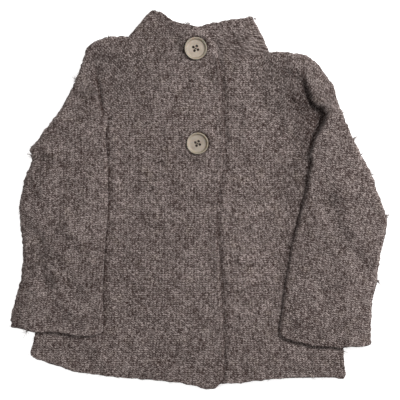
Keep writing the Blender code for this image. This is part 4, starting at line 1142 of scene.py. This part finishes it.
def new_group(name, inputs, outputs):
    """An empty shader node group with named inputs and outputs."""
    group = bpy.data.node_groups.new(name, "ShaderNodeTree")
    for label, kind, value in inputs:
        socket = group.interface.new_socket(label, in_out="INPUT", socket_type=kind)
        if value is not None:
            socket.default_value = value
    for label, kind in outputs:
        group.interface.new_socket(label, in_out="OUTPUT", socket_type=kind)
    return group, group.nodes.new("NodeGroupInput"), group.nodes.new("NodeGroupOutput")


def feed(tree, socket, value):
    """Link another node's output to an input, or give the input a fixed value."""
    if hasattr(value, "links"):
        tree.links.new(value, socket)
    else:
        socket.default_value = value


def math_node(tree, operation, first, second=0.0):
    """A Math node whose inputs are sockets or numbers; returns its output."""
    node = tree.nodes.new("ShaderNodeMath")
    node.operation = operation
    feed(tree, node.inputs[0], first)
    feed(tree, node.inputs[1], second)
    return node.outputs[0]


def vector_node(tree, operation, first, second):
    """A Vector Math node of two vectors, or of a vector and its scale; returns its output."""
    node = tree.nodes.new("ShaderNodeVectorMath")
    node.operation = operation
    feed(tree, node.inputs[0], first)
    feed(tree, node.inputs["Scale"] if operation == "SCALE" else node.inputs[1], second)
    return node.outputs[0]


def clamped(tree, value):
    """A value held between 0 and 1."""
    node = tree.nodes.new("ShaderNodeClamp")
    tree.links.new(value, node.inputs[0])
    return node.outputs[0]


def noise_node(tree, vector, scale, detail, roughness=0.5, output="Fac"):
    """A Noise Texture in the given coordinates; returns its value or its colour."""
    node = tree.nodes.new("ShaderNodeTexNoise")
    node.inputs["Scale"].default_value = scale
    node.inputs["Detail"].default_value = detail
    node.inputs["Roughness"].default_value = roughness
    tree.links.new(vector, node.inputs["Vector"])
    return node.outputs[output]


def mix_colour(tree, factor, first, second, blend="MIX"):
    """A Mix node of two colours, each a socket or a colour value; returns its output."""
    node = tree.nodes.new("ShaderNodeMix")
    node.data_type = "RGBA"
    node.blend_type = blend
    for number, value in ((0, factor), (6, first), (7, second)):
        feed(tree, node.inputs[number], value)
    return node.outputs[2]


def two_colours(tree, value, *stops):
    """A ramp between two colours, each given after its place on the ramp."""
    ramp = tree.nodes.new("ShaderNodeValToRGB")
    for element, (position, colour) in zip(ramp.color_ramp.elements, stops):
        element.position = position
        element.color = colour
    tree.links.new(value, ramp.inputs[0])
    return ramp.outputs[0]


def point_value(tree, name):
    """The number that a mesh keeps for each of its points under a name."""
    node = tree.nodes.new("ShaderNodeAttribute")
    node.attribute_name = name
    return node.outputs["Fac"]


def start_material(name, roughness):
    """A new material, its node tree, its shader and the object's coordinates."""
    material = bpy.data.materials.new(name)
    material.use_nodes = True
    tree = material.node_tree
    shader = tree.nodes["Principled BSDF"]
    shader.inputs["Roughness"].default_value = roughness
    return material, tree, shader, tree.nodes.new("ShaderNodeTexCoord").outputs["Object"]


def add_bump(tree, shader, height, strength, distance):
    """Bump the shader's normal by a height."""
    bump = tree.nodes.new("ShaderNodeBump")
    bump.inputs["Strength"].default_value = strength
    bump.inputs["Distance"].default_value = distance
    tree.links.new(height, bump.inputs["Height"])
    tree.links.new(bump.outputs[0], shader.inputs["Normal"])


def stitch_group():
    """Knit stitches from a map of stitch counts: leaning legs in each column, felted by noise.

    Height is the yarn's relief, Tone a steady random value for each leg of each stitch.
    """
    inputs = [("Stitches", "NodeSocketVector", None), ("Place", "NodeSocketVector", None),
              ("Felting", "NodeSocketFloat", 0.3)]
    outputs = [("Height", "NodeSocketFloat"), ("Tone", "NodeSocketFloat")]
    group, start, end = new_group("knit_stitches", inputs, outputs)

    def calc(*parts):
        """A Math node in this group."""
        return math_node(group, *parts)

    warp = noise_node(group, start.outputs["Place"], 210.0, 2.0, output="Color")
    felting = calc("MULTIPLY", start.outputs["Felting"], 4.0)
    warp = vector_node(group, "SCALE", vector_node(group, "SUBTRACT", warp, (0.5, 0.5, 0.5)), felting)
    split = group.nodes.new("ShaderNodeSeparateXYZ")
    group.links.new(vector_node(group, "ADD", start.outputs["Stitches"], warp), split.inputs[0])
    leg = calc("ABSOLUTE", calc("SUBTRACT", calc("FRACT", split.outputs["X"]), 0.5))
    row = calc("SUBTRACT", split.outputs["Y"], calc("MULTIPLY", leg, 1.15))
    strand = calc("SINE", calc("MULTIPLY", calc("FRACT", row), math.pi))
    rib = calc("COSINE", calc("MULTIPLY", leg, math.pi))
    shallow = calc("ADD", calc("MULTIPLY", rib, 0.42), 0.58)
    group.links.new(calc("MULTIPLY", calc("POWER", strand, 0.6), shallow), end.inputs["Height"])
    cell = group.nodes.new("ShaderNodeCombineXYZ")
    group.links.new(calc("FLOOR", calc("MULTIPLY", split.outputs["X"], 2.0)), cell.inputs["X"])
    group.links.new(calc("FLOOR", row), cell.inputs["Y"])
    white = group.nodes.new("ShaderNodeTexWhiteNoise")
    white.noise_dimensions = "2D"
    group.links.new(cell.outputs[0], white.inputs["Vector"])
    group.links.new(white.outputs["Value"], end.inputs["Tone"])
    return group


def heather_and_shade_group():
    """Heathered wool colour: dark and light fibres by stitch, fleck and hue, with painted shade and light."""
    inputs = [("Place", "NodeSocketVector", None), ("Stitches", "NodeSocketVector", None),
              ("Tone", "NodeSocketFloat", 0.5), ("Height", "NodeSocketFloat", 0.5),
              ("Painted Shade", "NodeSocketFloat", 0.0), ("Shade", "NodeSocketFloat", 0.0),
              ("Dark", "NodeSocketColor", (0.03, 0.02, 0.02, 1.0)),
              ("Light", "NodeSocketColor", (0.3, 0.25, 0.25, 1.0))]
    outputs = [("Colour", "NodeSocketColor"), ("Fleck", "NodeSocketFloat")]
    group, start, end = new_group("heather_wool_and_shade", inputs, outputs)
    place, given = start.outputs["Place"], start.outputs

    def calc(*parts):
        """A Math node in this group."""
        return math_node(group, *parts)

    fleck = noise_node(group, place, 620.0, 3.0, 0.62)
    clump = noise_node(group, place, 150.0, 2.0, 0.55)
    slow = noise_node(group, place, 48.0, 1.0)
    stroke = noise_node(group, given["Stitches"], 1.0, 1.0)
    total = calc("MULTIPLY", calc("SUBTRACT", given["Tone"], 0.5), 0.45)
    # Stitch height paints the knit's dips darker, a painted shade between stitches; the last term is painted
    # shade in grooves and creases
    for value, middle, weight in ((fleck, 0.5, 1.5), (clump, 0.5, 0.65), (slow, 0.5, 0.24),
                                  (stroke, 0.5, 1.35), (given["Height"], 0.6, 0.6),
                                  (given["Painted Shade"], 0.0, -0.3)):
        total = calc("ADD", total, calc("MULTIPLY", calc("SUBTRACT", value, middle), weight))
    share = calc("POWER", clamped(group, calc("ADD", total, 0.53)), 1.7)
    colour = mix_colour(group, share, given["Dark"], given["Light"])
    red = noise_node(group, place, 105.0, 1.0)
    olive = noise_node(group, vector_node(group, "ADD", place, (3.1, 1.7, 0.4)), 95.0, 1.0)
    for patch, least, weight, tint in ((red, 0.52, 0.6, (1.08, 0.94, 0.98, 1.0)),
                                       (olive, 0.57, 1.4, (1.0, 0.99, 0.84, 1.0))):
        amount = calc("MULTIPLY", calc("MAXIMUM", calc("SUBTRACT", patch, least), 0.0), weight)
        colour = mix_colour(group, amount, colour, tint, "MULTIPLY")
    # Scaled by the shade attribute: the wool's own darker and lighter places with painted light and shade
    shaded = vector_node(group, "SCALE", colour, calc("ADD", given["Shade"], 1.0))
    group.links.new(shaded, end.inputs["Colour"])
    group.links.new(fleck, end.inputs["Fleck"])
    return group


def knit_material(stitches, heather):
    """Felted heather wool: stitch relief in the bump, heather colour with painted shade, a soft sheen of
    loose fibre.
    """
    material, tree, shader, place = start_material("felted_knit", 0.95)
    uv = tree.nodes.new("ShaderNodeUVMap")
    uv.uv_map = "stitches"
    stretch = tree.nodes.new("ShaderNodeMapping")
    stretch.inputs["Scale"].default_value = (0.95, 2.0, 1.0)
    tree.links.new(uv.outputs[0], stretch.inputs["Vector"])
    knit = tree.nodes.new("ShaderNodeGroup")
    knit.node_tree = stitches
    wool = tree.nodes.new("ShaderNodeGroup")
    wool.node_tree = heather
    for node, name, value in ((knit, "Felting", 0.34), (knit, "Stitches", uv.outputs[0]),
                              (knit, "Place", place), (wool, "Dark", (0.041, 0.0203, 0.0160, 1.0)),
                              (wool, "Light", (0.406, 0.336, 0.315, 1.0)),
                              (wool, "Painted Shade", point_value(tree, "hollow")),
                              (wool, "Shade", point_value(tree, "shade")), (wool, "Place", place),
                              (wool, "Stitches", stretch.outputs[0]), (wool, "Tone", knit.outputs["Tone"]),
                              (wool, "Height", knit.outputs["Height"])):
        feed(tree, node.inputs[name], value)
    tree.links.new(wool.outputs["Colour"], shader.inputs["Base Color"])
    shader.inputs["Specular IOR Level"].default_value = 0.15
    shader.inputs["Sheen Weight"].default_value = 0.1
    shader.inputs["Sheen Roughness"].default_value = 0.6
    flecks = math_node(tree, "MULTIPLY", wool.outputs["Fleck"], 0.9)
    add_bump(tree, shader, math_node(tree, "ADD", knit.outputs["Height"], flecks), 0.8, 0.0011)
    return material


def plastic_material():
    """Cream plastic, faint marbled lines, satin gloss; steep faces olive, partly own tint, partly painted
    shade.
    """
    material, tree, shader, place = start_material("cream_plastic", 0.42)
    cloud = math_node(tree, "MULTIPLY", noise_node(tree, place, 130.0, 4.0, 0.6), 0.75)
    fine = noise_node(tree, place, 900.0, 2.0)
    mixed = math_node(tree, "ADD", cloud, math_node(tree, "MULTIPLY", fine, 0.25))
    cream = two_colours(tree, mixed, (0.3, (0.345, 0.268, 0.212, 1.0)), (0.66, (0.50, 0.405, 0.33, 1.0)))
    facing = tree.nodes.new("ShaderNodeSeparateXYZ")
    tree.links.new(tree.nodes.new("ShaderNodeTexCoord").outputs["Normal"], facing.inputs[0])
    # Olive tint on steep faces, partly the plastic's own colour, partly painted shade weighted by the point
    # value below
    steep = math_node(tree, "MULTIPLY", math_node(tree, "SUBTRACT", 0.95, facing.outputs["Z"]), 3.0)
    side_shade_share = math_node(tree, "MULTIPLY", clamped(tree, steep), point_value(tree, "painted_side_shade"))
    shaded_cream = mix_colour(tree, side_shade_share, cream, (0.19, 0.158, 0.088, 1.0))
    tree.links.new(shaded_cream, shader.inputs["Base Color"])
    shader.inputs["Subsurface Weight"].default_value = 0.1
    add_bump(tree, shader, fine, 0.15, 0.0002)
    return material


def thread_material():
    """Dark brown sewing thread with a fine twist."""
    material, tree, shader, place = start_material("sewing_thread", 0.85)
    twist = noise_node(tree, place, 2600.0, 2.0)
    colour = mix_colour(tree, twist, (0.05, 0.04, 0.03, 1.0), (0.17, 0.145, 0.11, 1.0))
    tree.links.new(colour, shader.inputs["Base Color"])
    add_bump(tree, shader, twist, 0.5, 0.0002)
    return material


def fibre_material():
    """Loose wool fibre, light and dark hairs mixed by where they lie."""
    material, tree, shader, place = start_material("loose_fibre", 0.8)
    mixed = noise_node(tree, place, 420.0, 1.0)
    colour = two_colours(tree, mixed, (0.35, (0.06, 0.045, 0.04, 1.0)), (0.6, (0.36, 0.30, 0.285, 1.0)))
    tree.links.new(colour, shader.inputs["Base Color"])
    shader.inputs["Specular IOR Level"].default_value = 0.2
    return material


def make_stage():
    """A plain pale floor, soft studio light from the garment's upper left side, and the camera overhead."""
    scene = bpy.context.scene
    scene.view_settings.view_transform = "Standard"
    floor_mesh = bpy.data.meshes.new("floor")
    size = 3.0
    floor_mesh.from_pydata([(-size, -size, -0.0004), (size, -size, -0.0004), (size, size, -0.0004),
                            (-size, size, -0.0004)], [], [(0, 1, 2, 3)])
    floor = bpy.data.objects.new("floor", floor_mesh)
    scene.collection.objects.link(floor)
    material = bpy.data.materials.new("pale_floor")
    material.use_nodes = True
    shader = material.node_tree.nodes["Principled BSDF"]
    shader.inputs["Base Color"].default_value = (0.93, 0.93, 0.93, 1.0)
    shader.inputs["Roughness"].default_value = 0.9
    shader.inputs["Emission Color"].default_value = (1.0, 1.0, 1.0, 1.0)
    shader.inputs["Emission Strength"].default_value = 0.75
    floor_mesh.materials.append(material)

    world = bpy.data.worlds.new("studio")
    scene.world = world
    world.use_nodes = True
    world.node_tree.nodes["Background"].inputs[0].default_value = (1.0, 1.0, 1.0, 1.0)
    world.node_tree.nodes["Background"].inputs[1].default_value = 0.22

    for row in LIGHTS:
        add_light(*row)

    camera_data = bpy.data.cameras.new("camera")
    camera_data.sensor_width = 36.0
    camera_data.lens = 36.0 * CAMERA_HEIGHT / VIEW_WIDTH
    camera_data.clip_end = 20.0
    camera = bpy.data.objects.new("camera", camera_data)
    camera.location = (VIEW_CENTRE[0], VIEW_CENTRE[1], CAMERA_HEIGHT)
    scene.collection.objects.link(camera)
    scene.camera = camera


def add_light(name, place, size, power):
    """A square area light that faces the garment's middle."""
    data = bpy.data.lights.new(name, "AREA")
    data.size = size
    data.energy = power
    light = bpy.data.objects.new(name, data)
    direction = -np.array(place)
    light.location = place
    light.rotation_euler = (math.atan2(math.hypot(direction[0], direction[1]), -direction[2]), 0.0,
                            math.atan2(direction[0], -direction[1]) + math.pi)
    bpy.context.scene.collection.objects.link(light)


def fibre_mesh(name, roots, ways, bends, length, thickness):
    """Loose fibres as one mesh: each is a three-sided tapering hair along a bent path of three points.

    A fibre's path is root + length * (t * way + t * t * bend).
    """
    t = np.array([0.0, 0.5, 1.0])[None, :, None]
    path = roots[:, None] + length[:, None, None] * (t * ways[:, None] + t * t * bends[:, None])
    side = np.cross(ways, [0.31, 0.52, 0.79])
    side /= np.linalg.norm(side, axis=1, keepdims=True)
    other = np.cross(ways, side)
    angle = np.arange(3) * math.tau / 3
    ring = np.cos(angle)[None, :, None] * side[:, None] + np.sin(angle)[None, :, None] * other[:, None]
    taper = np.array([1.0, 0.9, 0.35])[None, :, None, None]
    points = path[:, :, None] + ring[:, None] * taper * thickness[:, None, None, None]
    quads = [(3 * s + k, 3 * s + (k + 1) % 3, 3 * s + 3 + (k + 1) % 3, 3 * s + 3 + k)
             for s in range(2) for k in range(3)]
    start = np.arange(len(roots))[:, None, None] * 9
    faces = (np.array(quads)[None] + start).reshape(-1, 4).tolist()
    faces += (np.array([[0, 2, 1], [6, 7, 8]])[None] + start).reshape(-1, 3).tolist()
    mesh = bpy.data.meshes.new(name)
    mesh.from_pydata((points.reshape(-1, 3) * MM).tolist(), [], faces)
    return mesh


def make_fibres(pieces, material):
    """Loose wool fibres that stand off the knit: most lie over the cloth, more stand out at its edges."""
    rng = np.random.default_rng(41)
    roots, normals, weights = [], [], []
    for piece in pieces:
        mesh = piece.data
        count = len(mesh.polygons)
        centre, normal, area = np.zeros(count * 3), np.zeros(count * 3), np.zeros(count)
        mesh.polygons.foreach_get("center", centre)
        mesh.polygons.foreach_get("normal", normal)
        mesh.polygons.foreach_get("area", area)
        normal = normal.reshape(-1, 3)
        at_edge = np.abs(normal[:, 2]) < STEEP
        weight = area * np.where(at_edge, EDGE_FIBRES, 1.0) * (normal[:, 2] > UNDERSIDE)
        roots.append(centre.reshape(-1, 3) / MM)
        normals.append(normal)
        weights.append(weight)
    roots, normals, weights = np.vstack(roots), np.vstack(normals), np.concatenate(weights)
    picked = rng.choice(len(roots), FIBRES, p=weights / weights.sum())
    root, normal = roots[picked], normals[picked]
    loose = rng.normal(size=(FIBRES, 3))
    across = loose - (loose * normal).sum(1, keepdims=True) * normal
    across /= np.linalg.norm(across, axis=1, keepdims=True)
    stand = rng.uniform(0.15, 0.9, (FIBRES, 1))
    way = across + stand * normal
    way /= np.linalg.norm(way, axis=1, keepdims=True)
    bend = rng.normal(size=(FIBRES, 3)) * 0.45 - 0.45 * stand * normal
    root = root + rng.uniform(-0.5, 0.5, (FIBRES, 3)) - 0.25 * normal
    root[:, 2] = np.maximum(root[:, 2], 0.3)
    length = rng.uniform(*FIBRE_LENGTH, FIBRES)
    thick = rng.uniform(*FIBRE_THICKNESS, FIBRES)
    parts = [(root, way, bend, length, thick)]
    for x, y, z, reach, number in TUFTS:
        away = np.array([x, y, 4.0]) / np.hypot(x, y)
        spot = np.array([x, y, z]) - 2.2 * away + rng.normal(size=(number, 3)) * [0.5, 0.5, 0.4]
        turn = away + rng.normal(size=(number, 3)) * [0.55, 0.55, 0.3]
        turn /= np.linalg.norm(turn, axis=1, keepdims=True)
        curl = rng.normal(size=(number, 3)) * 0.6
        long = 2.2 + reach * rng.uniform(0.3, 0.9, number)
        parts.append((spot, turn, curl, long, rng.uniform(*TUFT_THICKNESS, number)))
    joined = [np.concatenate([part[k] for part in parts]) for k in range(5)]
    tip = joined[0][:, 2] + joined[3] * (joined[1][:, 2] + joined[2][:, 2])
    joined[2][:, 2] += np.maximum(FIBRE_FLOOR - tip, 0.0) / joined[3]
    mesh = fibre_mesh("loose_fibres", *joined)
    return add_piece("loose_fibres", mesh, material)


def build():
    """Dress the cardigan: knit shells, buttons and thread, then the stage."""
    knit = knit_material(stitch_group(), heather_and_shade_group())
    plastic, thread = plastic_material(), thread_material()
    right_side = side_line(RIGHT_SIDE, sleeve_inner_line(RIGHT_SLEEVE), RIGHT_UNDERARM_ROW)
    left_side = side_line(LEFT_SIDE, sleeve_inner_line(LEFT_SLEEVE), LEFT_UNDERARM_ROW)
    pieces = [make_back(right_side, left_side, knit)]
    pieces += make_fronts(right_side, left_side, knit)
    right = Sleeve(RIGHT_SLEEVE, RIGHT_CUFF, RIGHT_UNDERARM_ROW, right_side, RIGHT_CREASE, RIGHT_CREASE_STAND,
                   RIGHT_SLEEVE_KNIT, 1.0, 21)
    left = Sleeve(LEFT_SLEEVE, LEFT_CUFF, LEFT_UNDERARM_ROW, left_side, LEFT_CREASE, LEFT_CREASE_STAND,
                  LEFT_SLEEVE_KNIT, -1.0, 31)
    pieces.append(make_sleeve("sleeve_right", right, knit))
    pieces.append(make_sleeve("sleeve_left", left, knit))
    pieces.append(make_collar(knit))
    for row in BUTTONS:
        make_button(*row, plastic, thread)
    make_fibres(pieces, fibre_material())
    make_stage()


build()
